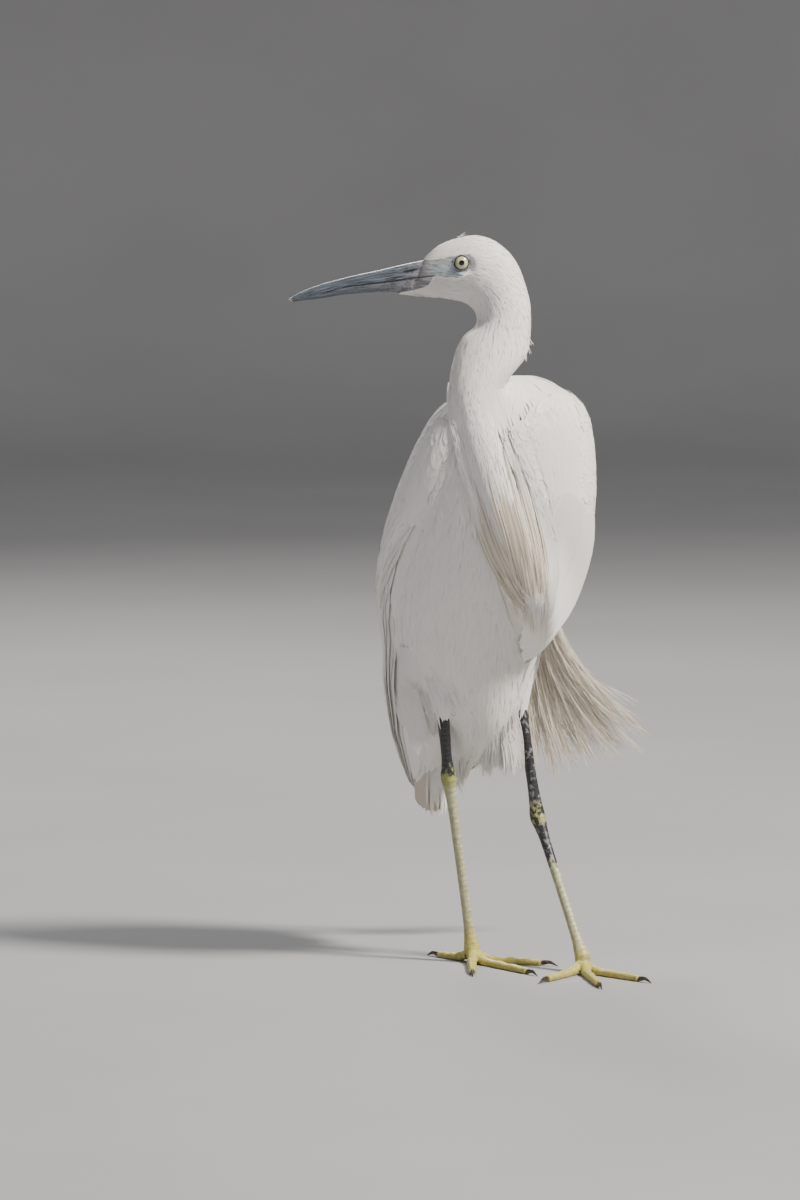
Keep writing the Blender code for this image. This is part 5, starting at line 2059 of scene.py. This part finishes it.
@dataclass
class LongFeathers:
    """Long feathers over the seams of the coat, from the neck's edge to the vent."""

    skin: Skin
    neck_over_breast: Patch = Patch(
        left=((-25.3, 358.8), (-24.1, 337.2), (-20.4, 318.7), (-15.4, 300.2), (-9.9, 281.7),
              (-3.1, 260.1), (4.9, 241.6), (14.8, 224.9)),
        right=((8.6, 355.7), (16.0, 331.0), (23.4, 311.3), (31.5, 292.8), (37.6, 274.3),
               (41.3, 255.7), (42.0, 238.5), (39.5, 222.4)),
        count=1400, root=(-0.02, 0.86), reach=(0.14, 0.24), width=(1.8, 3.2), lift=(0.1, 0.7), lip=1.0,
    )
    right_shoulder: Patch = Patch(
        left=((-29.6, 338.4), (-36.4, 324.9), (-43.8, 308.8), (-48.7, 292.8), (-52.4, 275.5)),
        right=((-19.7, 331.0), (-22.2, 313.7), (-24.7, 294.0), (-27.1, 275.5), (-29.0, 258.2)),
        count=200, root=(-0.05, 0.75), reach=(0.22, 0.36), width=(3.5, 6.0), lift=(0.1, 0.7),
        shape=Shape.CONTOUR, columns=5, crest=0.06,
    )
    shoulder: Patch = Patch(
        left=((11.1, 363.1), (19.7, 340.3), (27.8, 318.7), (34.6, 297.1), (38.9, 275.5), (40.7, 250.8)),
        right=((32.1, 361.9), (44.4, 348.3), (52.4, 331.0), (54.9, 309.4), (51.2, 278.6), (44.4, 243.4)),
        count=620, root=(-0.02, 0.74), reach=(0.16, 0.28), width=(2.0, 4.0), lift=(0.1, 0.6),
    )
    lower_fold: Patch = Patch(
        left=((45.7, 294.0), (40.7, 272.4), (35.2, 253.3), (30.2, 237.2), (25.9, 223.7)),
        right=((64.2, 278.6), (58.6, 250.8), (47.5, 223.7), (33.9, 205.2), (20.1, 187.9)),
        count=13, root=(0.0, 0.04), reach=(0.93, 1.0), width=(14.0, 16.0), lift=(0.3, 3.2),
        shape=Shape.BLADE, rings=16, columns=7, crest=0.06, even=True,
    )
    flank: Patch = Patch(
        left=((-44.4, 284.7), (-51.2, 268.7), (-56.8, 253.3), (-61.7, 232.3), (-62.9, 212.6),
              (-61.1, 189.1), (-56.1, 163.2), (-48.7, 134.8)),
        right=((-19.7, 278.6), (-23.4, 260.1), (-27.1, 241.6), (-30.9, 223.0), (-33.3, 201.5),
               (-35.2, 179.9), (-35.2, 161.3), (-32.1, 142.8)),
        count=420, root=(-0.02, 0.84), reach=(0.14, 0.22), width=(4.0, 7.0), lift=(0.2, 0.9),
        shape=Shape.CONTOUR, columns=5, crest=0.06,
    )
    belly_edge: Patch = Patch(
        left=((-49.4, 192.2), (-43.2, 173.7), (-34.6, 157.0), (-23.4, 147.2), (-9.9, 138.5)),
        right=((-29.6, 204.5), (-22.2, 184.2), (-14.8, 165.7), (-6.2, 150.9), (4.3, 136.7)),
        count=300, root=(0.0, 0.70), reach=(0.22, 0.42), width=(0.8, 2.2), lift=(0.2, 1.1),
    )
    vent: Patch = Patch(
        left=((-22.2, 157.0), (-22.2, 144.7), (-21.0, 132.3), (-19.1, 120.0), (-17.3, 107.7)),
        right=((-3.7, 157.0), (-4.9, 145.9), (-7.4, 133.6), (-11.7, 120.0), (-16.0, 108.3)),
        count=170, root=(0.0, 0.62), reach=(0.25, 0.38), width=(1.2, 2.6), lift=(0.2, 1.0),
    )

    def build(self, soft: bpy.types.Material, wings: list) -> Sight:
        """Builds the feathers, each piece over those before it.

        Args:
            soft: Their finish.
            wings: Pieces of the wings, which they are laid on as well.

        Returns:
            What is then seen of the bird.
        """
        under, sight = Sight([self.skin.tree]), Sight([self.skin.tree])
        for piece in wings:
            sight.add(piece)
        for name, seed, parts in (
            ("flank_feathers", 73, (self.flank, self.belly_edge, self.vent)),
            ("shoulder_feathers", 71, (self.right_shoulder, self.shoulder)),
            ("wing_lower_fold", 72, (self.lower_fold,)),
            ("neck_feathers", 74, (self.neck_over_breast,)),
        ):
            vanes = Vanes(name, seed)
            for part in parts:
                part.grow(vanes, under if part is self.flank else sight)
            sight.add(vanes.build(soft, "feather"))
        return sight


@dataclass
class BreastPlumes:
    """Long narrow plumes that hang from the lower neck over the breast."""

    groups: tuple = (
        Patch(
            left=((-6.2, 318.7), (0.6, 287.8), (9.3, 260.1), (16.7, 233.5), (24.1, 206.4)),
            right=((16.0, 324.9), (26.5, 287.8), (33.3, 257.0), (36.4, 226.1), (35.2, 195.3)),
            count=130, root=(0.0, 0.40), reach=(0.45, 0.66), width=(0.6, 1.5), lift=(-0.2, 1.3),
            shape=Shape.PLUME, rings=16, crest=0.35,
        ),
        Patch(
            left=((-16.0, 300.2), (-6.2, 263.2), (4.3, 240.9), (14.2, 226.1), (22.2, 218.1)),
            right=((-6.2, 303.3), (3.7, 270.6), (13.6, 247.7), (22.8, 231.1), (32.1, 224.3)),
            count=44, root=(0.0, 0.4), reach=(0.45, 0.64), width=(0.6, 1.3), lift=(-0.2, 1.5),
            shape=Shape.PLUME, rings=14, crest=0.35,
        ),
        Patch(
            left=((-22.2, 300.2), (-20.4, 275.5), (-18.5, 250.8), (-14.8, 226.1), (-11.1, 206.4)),
            right=((-13.6, 294.0), (-9.9, 269.3), (-5.6, 244.6), (-0.6, 223.0), (3.7, 201.5)),
            count=18, root=(0.0, 0.35), reach=(0.5, 0.65), width=(0.5, 1.0), lift=(-0.1, 0.5),
            shape=Shape.PLUME, rings=12, crest=0.3,
        ),
        Patch(
            left=((-3.1, 244.6), (1.2, 232.3), (5.6, 218.7), (9.9, 205.2), (14.2, 195.3)),
            right=((7.4, 253.9), (11.7, 243.4), (16.0, 232.3), (19.7, 222.4), (23.4, 213.8)),
            count=9, root=(0.0, 0.2), reach=(0.7, 0.9), width=(0.6, 1.0), lift=(0.2, 1.4),
            shape=Shape.PLUME, rings=10, crest=0.35,
        ),
    )

    def build(self, cream: bpy.types.Material, sight: Sight) -> None:
        """Builds the plumes.

        Args:
            cream: Their finish.
            sight: What they hang on.
        """
        vanes = Vanes("breast_plumes_fan", 51)
        for part in self.groups:
            part.grow(vanes, sight)
        vanes.build(cream, "plume", *[f"breast_plume_{k + 1}" for k in range(5)])


@dataclass
class BellyFringe:
    """Loose points of the belly's feathers between the legs, in small pointed bunches."""

    strands: int = 1500
    bunches: int = 26
    roots: tuple = (138.0, 166.0)
    lowest: float = 116.0

    def build(self, soft: bpy.types.Material, sight: Sight) -> None:
        """Builds the fringe.

        Args:
            soft: Its finish.
            sight: The belly that it hangs on.
        """
        vanes = Vanes("belly_fringe_strands", 61)
        chance = vanes.chance
        count, rings = self.strands, 10
        bunch = chance.integers(0, self.bunches, count)
        middle = (bunch + 0.5) / self.bunches
        drop = chance.uniform(-3.0, 5.0, self.bunches)[bunch]
        q = middle + chance.normal(0, 0.9, count) / self.bunches
        start = np.stack([-9.0 + 25.0 * q, chance.uniform(*self.roots, count)], axis=1)
        low = self.lowest + 24.0 * (middle - 0.6) ** 2 + drop + chance.exponential(5.0, count)
        end = np.stack([-13.0 + 35.0 * middle + chance.normal(0, 0.8, count), low], axis=1)
        bend = start + (end - start) * 0.55 + chance.normal(0, 1.0, (count, 2)) + (2.0, -2.0)
        seen = bezier(start, (start + bend) / 2, bend, end, rings)
        points = seen_places(seen[..., 0], seen[..., 1])
        run = np.linspace(0, 1, rings)
        lean = chance.uniform(-5.0, 1.0, self.bunches)[bunch][:, None]
        lift = 0.1 + 1.2 * run + lean * run**2
        path, up = sight.drape(points, TOWARDS, lift)
        places = np.stack([0.1 + 0.8 * np.clip(q, 0, 1), (low - 100.0) / 60.0], axis=1)
        vanes.add(path, up, chance.uniform(0.4, 0.95, count) * MM, Shape.PLUME, places, crest=0.3)
        vanes.build(soft, "feather", "belly_fringe")


@dataclass
class HeadTufts:
    """Chin feathers over the base of the bill, and stray points on crown and nape."""

    chin_low: tuple = ((-38.5, -19.0), (-31.0, -19.9), (-23.0, -20.8), (-14.0, -22.0))
    chin_high: tuple = ((-37.5, -18.3), (-29.5, -16.8), (-21.5, -14.4), (-16.5, -9.4))
    count: int = 520
    # Each row: across and up of the root, then of the tip, and how many.
    strays: tuple = (
        (-2.0, 15.3, 2.2, 17.6, 4), (41.0, -46.0, 43.6, -50.5, 6), (40.6, -51.0, 42.6, -56.0, 6),
        (38.8, -56.0, 39.6, -60.5, 5),
    )

    def build(self, soft: bpy.types.Material, sight: Sight) -> None:
        """Builds both.

        Args:
            soft: Their finish.
            sight: Skin and bill, which the chin's feathers lie on.
        """
        vanes = Vanes("coat_chin", 81)
        chance = vanes.chance
        rings, bend_rings, marks = 5, 6, np.linspace(0, 1, 30)
        low, high = (smooth_table(rows, len(marks)) for rows in (self.chin_low, self.chin_high))
        start = np.array(by_head(0, 0, 0))
        for sign in (-1, 1):
            q = np.sqrt(chance.random(self.count))
            t = chance.uniform(0.0, 0.8, self.count)[:, None] + 0.22 * np.linspace(0, 1, rings)
            across, up = (
                np.interp(t, marks, low[:, k]) * (1 - q[:, None])
                + np.interp(t, marks, high[:, k]) * q[:, None]
                for k in (0, 1)
            )
            points = start + (across[..., None] * np.array(ACROSS) + up[..., None] * np.array(UPWARD)) * MM
            lift = np.tile(np.linspace(0.10, 0.42, rings), (self.count, 1))
            path, way = sight.drape(points, OUTWARD * sign, lift, 1)
            places = np.stack([0.5 + 0.4 * sign * q, t[:, 0]], axis=1)
            vanes.add(path, way, chance.uniform(0.7, 1.1, self.count) * MM, Shape.TUFT, places)
        for across, up, tip_across, tip_up, number in self.strays:
            root, tip = (np.array(by_head(a, 0.0, b)) for a, b in ((across, up), (tip_across, tip_up)))
            root = root + chance.normal(0, 0.5, (number, 3)) * MM
            tip = tip + chance.normal(0, 0.6, (number, 3)) * MM
            bend = (root + tip) / 2 + chance.normal(0, 0.2, (number, 3)) * MM
            path = bezier(root, bend, bend, tip, bend_rings)
            way = np.tile(np.array(OUTWARD), (number, bend_rings, 1))
            width, places = np.full(number, 0.35 * MM), np.full((number, 2), 0.9)
            vanes.add(path, way, width, Shape.STRAND, places, crest=0.4)
        vanes.build(soft, "feather")


@dataclass
class Bill:
    """Dagger bill in two halves, with nostril, side groove and worn base."""

    rings: int = 100
    sides: int = 36
    gap: float = 0.16

    def build(self) -> list:
        """Builds both halves."""
        return [self.half(upper) for upper in (True, False)]

    def half(self, upper: bool) -> bpy.types.Object:
        """Builds one half, rounded outside and flat inside.

        Args:
            upper: Whether it is the upper half.

        Returns:
            The piece.
        """
        rows = smooth_table(BILL_ROWS, self.rings)
        share = np.linspace(0, 1, self.rings)
        outer = rows[:, 0:2] if upper else rows[:, 4:6]
        clear = self.gap if upper else -self.gap
        mouth = rows[:, 2:4] + np.array([0.0, clear])
        turn = np.linspace(0, math.pi, self.sides)
        rings = np.empty((self.rings, self.sides, 3))
        data = np.empty_like(rings)
        for i in range(self.rings):
            rise = np.sin(turn) ** 0.92
            wide = np.sign(np.cos(turn)) * np.abs(np.cos(turn)) ** 0.82 * rows[i, 6]
            # The second value is the painted shade of the grooves and the mouth edge.
            groove, dark = self.grooves(upper, share[i], rise)
            wide = wide * (1 - groove / max(rows[i, 6], 0.5))
            flat = mouth[i] + (outer[i] - mouth[i]) * rise[:, None]
            for j in range(self.sides):
                rings[i, j] = by_head(flat[j, 0], wide[j], flat[j, 1])
                data[i, j] = (share[i], rise[j] + (0.0 if upper else 2.3), dark[j])
        builder = wrapped_tube(rings)
        mesh = mesh_of(builder, "bill_half")
        mesh.set_sharp_from_angle(angle=math.radians(50))
        self.mark(mesh, rings, data)
        name = "upper_bill_horn" if upper else "lower_bill_horn"
        finish = BillFinish(name, base_share=0.35 if upper else 0.7)
        piece = linked(name, mesh, finish.make())
        return finish_piece(piece, "bill", "bill_upper" if upper else "bill_lower")

    def grooves(self, upper: bool, share: float, rise: np.ndarray) -> tuple[np.ndarray, np.ndarray]:
        """Depth in millimetres and painted shade of the grooves round one ring.

        Args:
            upper: Whether it is the upper half.
            share: Share of the way to the tip.
            rise: Share of the way up from the mouth at each point.

        Returns:
            The depths and the darknesses.
        """
        if not upper:
            line = np.exp(-(((rise - 0.30) / 0.10) ** 2)) * (1 - share)
            edge = np.exp(-((rise / 0.06) ** 2))
            return 0.12 * line, 0.75 * edge
        fade = float(step_between(0.62, 0.30, share) * step_between(0.04, 0.10, share))
        furrow = np.exp(-(((rise - 0.50) / 0.12) ** 2)) * fade
        open_ = math.exp(-(((share - 0.20) / 0.055) ** 4))
        slit = np.exp(-(((rise - 0.50) / 0.07) ** 2)) * open_
        edge = np.exp(-((rise / 0.05) ** 2))
        return 0.30 * furrow + 0.45 * slit, np.clip(0.35 * furrow + slit + 0.75 * edge, 0, 1)

    def mark(self, mesh: bpy.types.Mesh, rings: np.ndarray, data: np.ndarray) -> None:
        """Writes each vertex's place on the bill.

        Args:
            mesh: The mesh.
            rings: The places that it was made from.
            data: What belongs to each of them.
        """
        flat, values = rings.reshape(-1, 3), data.reshape(-1, 3)
        found = [values[((flat - p) ** 2).sum(1).argmin()] for p in vertex_array(mesh)]
        put_data(mesh, "horn", np.array(found))


@dataclass
class Eyes:
    """Eyeballs with a slight bulge in front, each in a thin lid."""

    radius: float = 5.6
    out: float = 8.2
    up: float = 0.6
    bulge: float = 0.3
    lid_reach: float = 4.85
    lid_thick: float = 0.5
    corner_turn: float = 0.45
    corner_reach: float = 0.5

    def build(self) -> None:
        """Builds both eyes and their lids."""
        eye_finish, lid_finish = EyeFinish().make(), LidFinish().make()
        for name, sign in (("left", 1), ("right", -1)):
            middle = by_head(0.0, sign * self.out, self.up)
            axis = OUTWARD * sign
            self.ball(name, middle, axis, eye_finish)
            self.lid(name, middle, axis, lid_finish)

    def ball(self, name: str, middle: Vector, axis: Vector, finish: bpy.types.Material) -> None:
        """Builds one eyeball.

        Args:
            name: Its side.
            middle: Its middle.
            axis: Way that it looks.
            finish: Its finish.
        """
        builder = bmesh.new()
        bmesh.ops.create_uvsphere(builder, u_segments=64, v_segments=48, radius=self.radius * MM)
        turn = UPWARD.rotation_difference(axis).to_matrix()
        for vertex in builder.verts:
            aside = math.hypot(vertex.co.x, vertex.co.y) / MM
            if vertex.co.z > 0:
                vertex.co.z += self.bulge * MM * max(0.0, 1 - (aside / 4.4) ** 2)
            vertex.co = turn @ vertex.co + middle
        mesh = mesh_of(builder, "eyeball")
        spot = (vertex_array(mesh) - np.array(middle)) / MM
        side = np.array([spot @ np.array(ACROSS), spot @ np.array(UPWARD)]).T
        radius = np.linalg.norm(side, axis=1)
        ahead = spot @ np.array(axis)
        radius = np.where(ahead > 0, radius, 9.0)
        put_data(mesh, "gaze", np.column_stack([radius, unit(side)]))
        piece = linked("eyeball_" + name, mesh, finish)
        finish_piece(piece, "eye", "eye_" + name)

    def lid(self, name: str, middle: Vector, axis: Vector, finish: bpy.types.Material) -> None:
        """Builds one lid, a soft ring that lies on the eyeball.

        Args:
            name: Its side.
            middle: The eyeball's middle.
            axis: Way that the eye looks.
            finish: The lid's finish.
        """
        count = 72
        turn = np.linspace(0, 2 * math.pi, count, endpoint=False)
        corner = turn - math.pi - self.corner_turn
        reach = self.lid_reach + self.corner_reach * np.exp(-((corner / 0.38) ** 2))
        depth = np.sqrt(np.maximum(self.radius**2 - reach**2, 0.1))
        path = (
            np.array(middle)
            + (np.outer(np.cos(turn) * reach, ACROSS) + np.outer(np.sin(turn) * reach, UPWARD)) * MM
            + np.outer(depth + 0.05, axis) * MM
        )
        size = self.lid_thick * (1 + 0.25 * np.maximum(np.sin(turn), 0)) * MM
        along = unit(np.roll(path, -1, axis=0) - np.roll(path, 1, axis=0))
        out = unit(path - np.array(middle))
        side = np.cross(along, out)
        ring = np.linspace(0, 2 * math.pi, 14, endpoint=False)
        rings = (
            path[:, None, :]
            + out[:, None, :] * (size[:, None] * 0.75 * np.cos(ring))[..., None]
            + side[:, None, :] * (size[:, None] * np.sin(ring))[..., None]
        )
        rings = np.concatenate([rings, rings[:1]])
        piece = linked("eyelid_" + name, mesh_of(wrapped_tube(rings, False), "eyelid"), finish)
        finish_piece(piece, "lore_skin")


@dataclass
class Leg:
    """One bare leg in one skin: shank, ankle, tarsus and four toes with pads and joints."""

    side: str
    voxel: float = 0.55 * MM
    toe_start: float = 4.6
    toe_slope: float = 15.0
    toe_height: float = 1.85
    joints: tuple = field(init=False)
    toe_ways: list = field(default_factory=list)

    def build(self) -> None:
        """Builds the leg's skin."""
        facts = LEGS[self.side]
        knee, ankle, hub = (np.array(facts[k]) for k in ("knee", "ankle", "hub"))
        self.joints = knee, ankle, hub
        whole = bmesh.new()
        for stations in (self.shank(knee, ankle), self.tarsus(ankle, hub)):
            self.tube(whole, stations, 28, Vector((0.0, -1.0, 0.0)))
        for _, spread, length in TOES:
            turn = math.radians(facts["heading"] + spread * facts["outward"])
            ahead = np.array([-math.sin(turn), -math.cos(turn), 0.0])
            self.toe_ways.append((ahead, length))
            self.tube(whole, self.toe(hub, ahead, length), 20, Vector((0, 0, 1)))
        builder = opened(remeshed(mesh_of(whole, "leg_parts"), self.voxel))
        soften(builder, builder.verts, 4)
        for vertex in builder.verts:
            vertex.co.z = max(vertex.co.z, 0.0)
        mesh = mesh_of(builder, "leg")
        self.mark(mesh)
        finish = LegFinish("leg_scales_" + self.side, facts["black_to"], facts["hub_at"], facts["mottled_sheen"])
        piece = linked("leg_skin_" + self.side, mesh, finish.make())
        nodes = [f"{part}_{self.side}" for part in ("shank", "tarsus")]
        nodes += [f"toe_{toe[0]}_{self.side}" for toe in TOES]
        finish_piece(piece, "tarsus_skin", *nodes)

    def shank(self, knee: np.ndarray, ankle: np.ndarray) -> list:
        """Stations of the bare shank, from inside the thigh down."""
        down = (ankle - knee) / np.linalg.norm(ankle - knee)
        return [
            (knee + (ankle - knee) * 0.02, 3.9, 4.3), (knee + (ankle - knee) * 0.35, 3.4, 3.9),
            (knee + (ankle - knee) * 0.7, 3.2, 3.7), (knee + (ankle - knee) * 0.9, 4.0, 4.4),
            (ankle - down * 3.0, 4.6, 4.9), (ankle + down * 1.0, 4.7, 5.0), (ankle + down * 3.0, 3.6, 4.0),
        ]

    def tarsus(self, ankle: np.ndarray, hub: np.ndarray) -> list:
        """Stations of the tarsus, from the ankle to the hub of the foot."""
        down = (hub - ankle) / np.linalg.norm(hub - ankle)
        return [
            (ankle - down * 2.3, 4.4, 4.7), (ankle + down * 2.0, 4.8, 5.2), (ankle + down * 8.0, 3.8, 4.3),
            (ankle + (hub - ankle) * 0.2, 3.0, 3.4), (ankle + (hub - ankle) * 0.55, 2.8, 3.2),
            (ankle + (hub - ankle) * 0.85, 3.1, 3.4), (hub - down * 6.0, 4.0, 4.2), (hub, 4.9, 4.9),
            (hub + np.array([0, 0, -4.0]), 4.5, 4.3),
        ]

    def toe(self, hub: np.ndarray, ahead: np.ndarray, length: float) -> list:
        """Stations of one toe, thicker at its joints, from the hub to its tip on the floor."""
        ground = np.array([hub[0], hub[1], 0.0])
        stations = []
        for k, share in enumerate((-0.04, 0.10, 0.2, 0.34, 0.48, 0.62, 0.76, 0.9, 1.0)):
            along = self.toe_start + (length - self.toe_start) * share
            drop = max(0.0, 1.0 - along / self.toe_slope)
            height = self.toe_height + (hub[2] - 3.2 - self.toe_height) * drop**1.3
            radius = (3.1 - 0.9 * share) * (1.12 if k % 2 == 0 else 0.92)
            stations.append((ground + ahead * along + np.array([0, 0, height]), radius, radius))
        return stations

    def tube(self, whole: bmesh.types.BMesh, stations: list, sides: int, guide: Vector) -> None:
        """Adds a smooth tube through stations, cut off flat at the floor.

        Args:
            whole: The bmesh that gets it.
            stations: Each a point with a half width and a half height.
            sides: Points round the tube.
            guide: Way that its height leans to.
        """
        table = smooth_table([(*point, wide, high) for point, wide, high in stations], 60)
        path = table[:, :3] - np.array(CENTRE)
        rings = rings_along(path, table[:, 3], table[:, 4], sides, guide) * MM
        rings[..., 2] = np.maximum(rings[..., 2], 0.0)
        mesh = mesh_of(wrapped_tube(rings), "tube")
        whole.from_mesh(mesh)
        bpy.data.meshes.remove(mesh)

    def mark(self, mesh: bpy.types.Mesh) -> None:
        """Writes how far down the leg each vertex lies, and which way it faces."""
        knee, ankle, hub = self.joints
        spot = vertex_array(mesh) / MM + np.array(CENTRE)
        normal = normal_array(mesh)
        shank_long, tarsus_long = np.linalg.norm(ankle - knee), np.linalg.norm(hub - ankle)
        lines = [(knee, ankle, -shank_long), (ankle, hub, 0.0)]
        ground = np.array([hub[0], hub[1], 2.0])
        lines += [(ground, ground + ahead * long, tarsus_long) for ahead, long in self.toe_ways]
        best = np.full(len(spot), np.inf)
        down = np.zeros(len(spot))
        facing = np.zeros((len(spot), 3))
        for k, (start, end, offset) in enumerate(lines):
            run = end - start
            share = np.clip(((spot - start) @ run) / (run @ run), 0, 1)
            gap = np.linalg.norm(spot - start - share[:, None] * run, axis=1)
            near = gap < best
            best = np.where(near, gap, best)
            down = np.where(near, offset + share * np.linalg.norm(run), down)
            front = np.array([0.0, -1.0, 0.0]) if k < 2 else np.array([0.0, 0.0, 1.0])
            facing[near] = front
        put_data(mesh, "limb", np.column_stack([down, (normal * facing).sum(1), normal[:, 0]]))


@dataclass
class Claws:
    """The eight claws, smoothed."""

    def build(self) -> None:
        """Builds one piece for each foot."""
        finish = ClawFinish().make()
        for side in ("left", "right"):
            names = [f"claw_{toe[0]}_{side}" for toe in TOES]
            builder = joined_nodes(names, 0.0)
            piece = linked("claws_" + side, mesh_of(builder, "claws"), finish)
            smoothing = piece.modifiers.new("smooth", "SUBSURF")
            smoothing.levels = smoothing.render_levels = 2
            finish_piece(piece, "claw", *names)


@dataclass
class Studio:
    """Pale floor and backdrop, soft lights and the camera at the photo's angle."""

    azimuth: float = PLANE_TURN
    elevation: float = TILT
    distance: float = 4.5
    aim: tuple = (-0.05952, 0.05025, 0.22718)
    view_height: float = 0.7404
    sensor: float = 24.0
    flat: float = 4.0
    rim: float = 6.6
    wall: float = 4.5

    def build(self) -> None:
        """Builds floor, lights and camera."""
        self.floor()
        self.lights()
        self.camera()

    def floor(self) -> None:
        """Builds the round floor, whose rim rises all round into a backdrop."""
        builder = bmesh.new()
        inner, outer = np.linspace(0.0, self.flat, 9), np.linspace(self.flat, self.rim, 28)
        reach = np.concatenate([inner, outer[1:]])
        rise = self.wall * np.maximum((reach - self.flat) / (self.rim - self.flat), 0.0) ** 2.5
        line = [builder.verts.new((r, 0.0, z)) for r, z in zip(reach, rise)]
        edges = [builder.edges.new(pair) for pair in zip(line, line[1:])]
        bmesh.ops.spin(
            builder, geom=line + edges, cent=(0, 0, 0), axis=(0, 0, 1), angle=2 * math.pi, steps=96,
            use_merge=True,
        )
        bmesh.ops.remove_doubles(builder, verts=builder.verts, dist=1e-6)
        bmesh.ops.recalc_face_normals(builder, faces=builder.faces)
        builder.normal_update()
        if sum(face.normal.z for face in builder.faces) < 0:
            bmesh.ops.reverse_faces(builder, faces=builder.faces)
        piece = linked("floor", mesh_of(builder, "floor"), FloorFinish().make())

    def lights(self) -> None:
        """Hangs the lights and sets the world's even light."""
        back = self.back()
        right = Vector((math.cos(self.azimuth), math.sin(self.azimuth), 0.0))
        middle = Vector((0.0, 0.0, 0.25))
        for name, place, size, power, colour in (
            ("key", middle + right * 1.75 + back * 0.95 + UPWARD * 2.05, 0.5, 200.0, (1.0, 0.945, 0.87)),
            ("fill", middle - right * 2.2 + back * 1.8 + UPWARD * 0.5, 2.0, 12.0, (0.90, 0.91, 1.0)),
            ("rim", middle - right * 0.5 - back * 2.0 + UPWARD * 1.5, 0.9, 34.0, (1.0, 0.97, 0.93)),
        ):
            data = bpy.data.lights.new(name, "AREA")
            data.shape, data.size, data.energy, data.color = "DISK", size, power, colour
            lamp = bpy.data.objects.new(name, data)
            bpy.context.scene.collection.objects.link(lamp)
            lamp.location = place
            lamp.rotation_euler = (middle - place).to_track_quat("-Z", "Y").to_euler()
            lamp.visible_camera = False
        sky = bpy.data.worlds.new("studio_air")
        bpy.context.scene.world = sky
        sky.use_nodes = True
        sky.node_tree.nodes["Background"].inputs["Color"].default_value = rgb(0.66, 0.66, 0.72)
        sky.node_tree.nodes["Background"].inputs["Strength"].default_value = 0.38

    def back(self) -> Vector:
        """Way from the bird to the camera."""
        c = math.cos(self.elevation)
        a = self.azimuth
        return Vector((math.sin(a) * c, -math.cos(a) * c, math.sin(self.elevation)))

    def camera(self) -> None:
        """Sets the camera."""
        data = bpy.data.cameras.new("camera")
        data.sensor_fit, data.sensor_height = "VERTICAL", self.sensor
        data.lens = self.sensor * self.distance / self.view_height
        data.clip_end = 20.0
        made = bpy.data.objects.new("camera", data)
        bpy.context.scene.collection.objects.link(made)
        back = self.back()
        made.location = Vector(self.aim) + back * self.distance
        made.rotation_euler = (-back).to_track_quat("-Z", "Y").to_euler()
        bpy.context.scene.camera = made


def main() -> None:
    """Builds the bird piece by piece."""
    logging.basicConfig(level=logging.INFO, format="%(message)s", stream=sys.stdout)
    skin = Skin()
    LOG.info("skin: %d faces", len(skin.build().data.polygons))
    soft = FeatherFinish("soft_feather", lines=3.0, reach=1.2).make()
    covert = FeatherFinish("covert_feather", lines=2.0, reach=22.0, slant=0.35).make()
    flight = FeatherFinish("flight_feather", lines=2.0, reach=60.0, slant=0.10).make()
    # The plumes' dark tan shade, mixed strongly into some strands, is painted shade between the strands;
    # their pale root is their own colour.
    cream = FeatherFinish(
        "cream_plume_painted_shade", rgb(0.82, 0.74, 0.615), rgb(0.42, 0.345, 0.25), rgb(0.84, 0.77, 0.66), lines=1.0,
        root=rgb(0.86, 0.825, 0.77), varied=0.72, depth=0.9,
    ).make()
    BodyCoat(skin).build(soft)
    wings = [WingPlumage("left", 21), WingPlumage("right", 25)]
    for wing in wings:
        wing.build(covert, flight)
    # The tail's finish is painted shade: a dimmer copy of the white feather, darker at the tips, for the tail
    # in the body's shade.
    tail_painted_shade = FeatherFinish(
        "tail_feather", rgb(0.80, 0.765, 0.72), rgb(0.62, 0.56, 0.50), rgb(0.70, 0.62, 0.54), lines=2.0,
        reach=60.0,
    ).make()
    Tail().build(tail_painted_shade, soft)
    sight = LongFeathers(skin).build(covert, [wing.piece for wing in wings])
    BreastPlumes().build(cream, sight)
    BackPlumes().build(cream)
    BellyFringe().build(soft, sight)
    face = Sight([skin.tree])
    for half in Bill().build():
        face.trees.append(BVHTree.FromObject(half, bpy.context.evaluated_depsgraph_get()))
    HeadTufts().build(soft, face)
    Eyes().build()
    for side in LEGS:
        Leg(side).build()
    Claws().build()
    Studio().build()


if __name__ == "__main__":
    main()
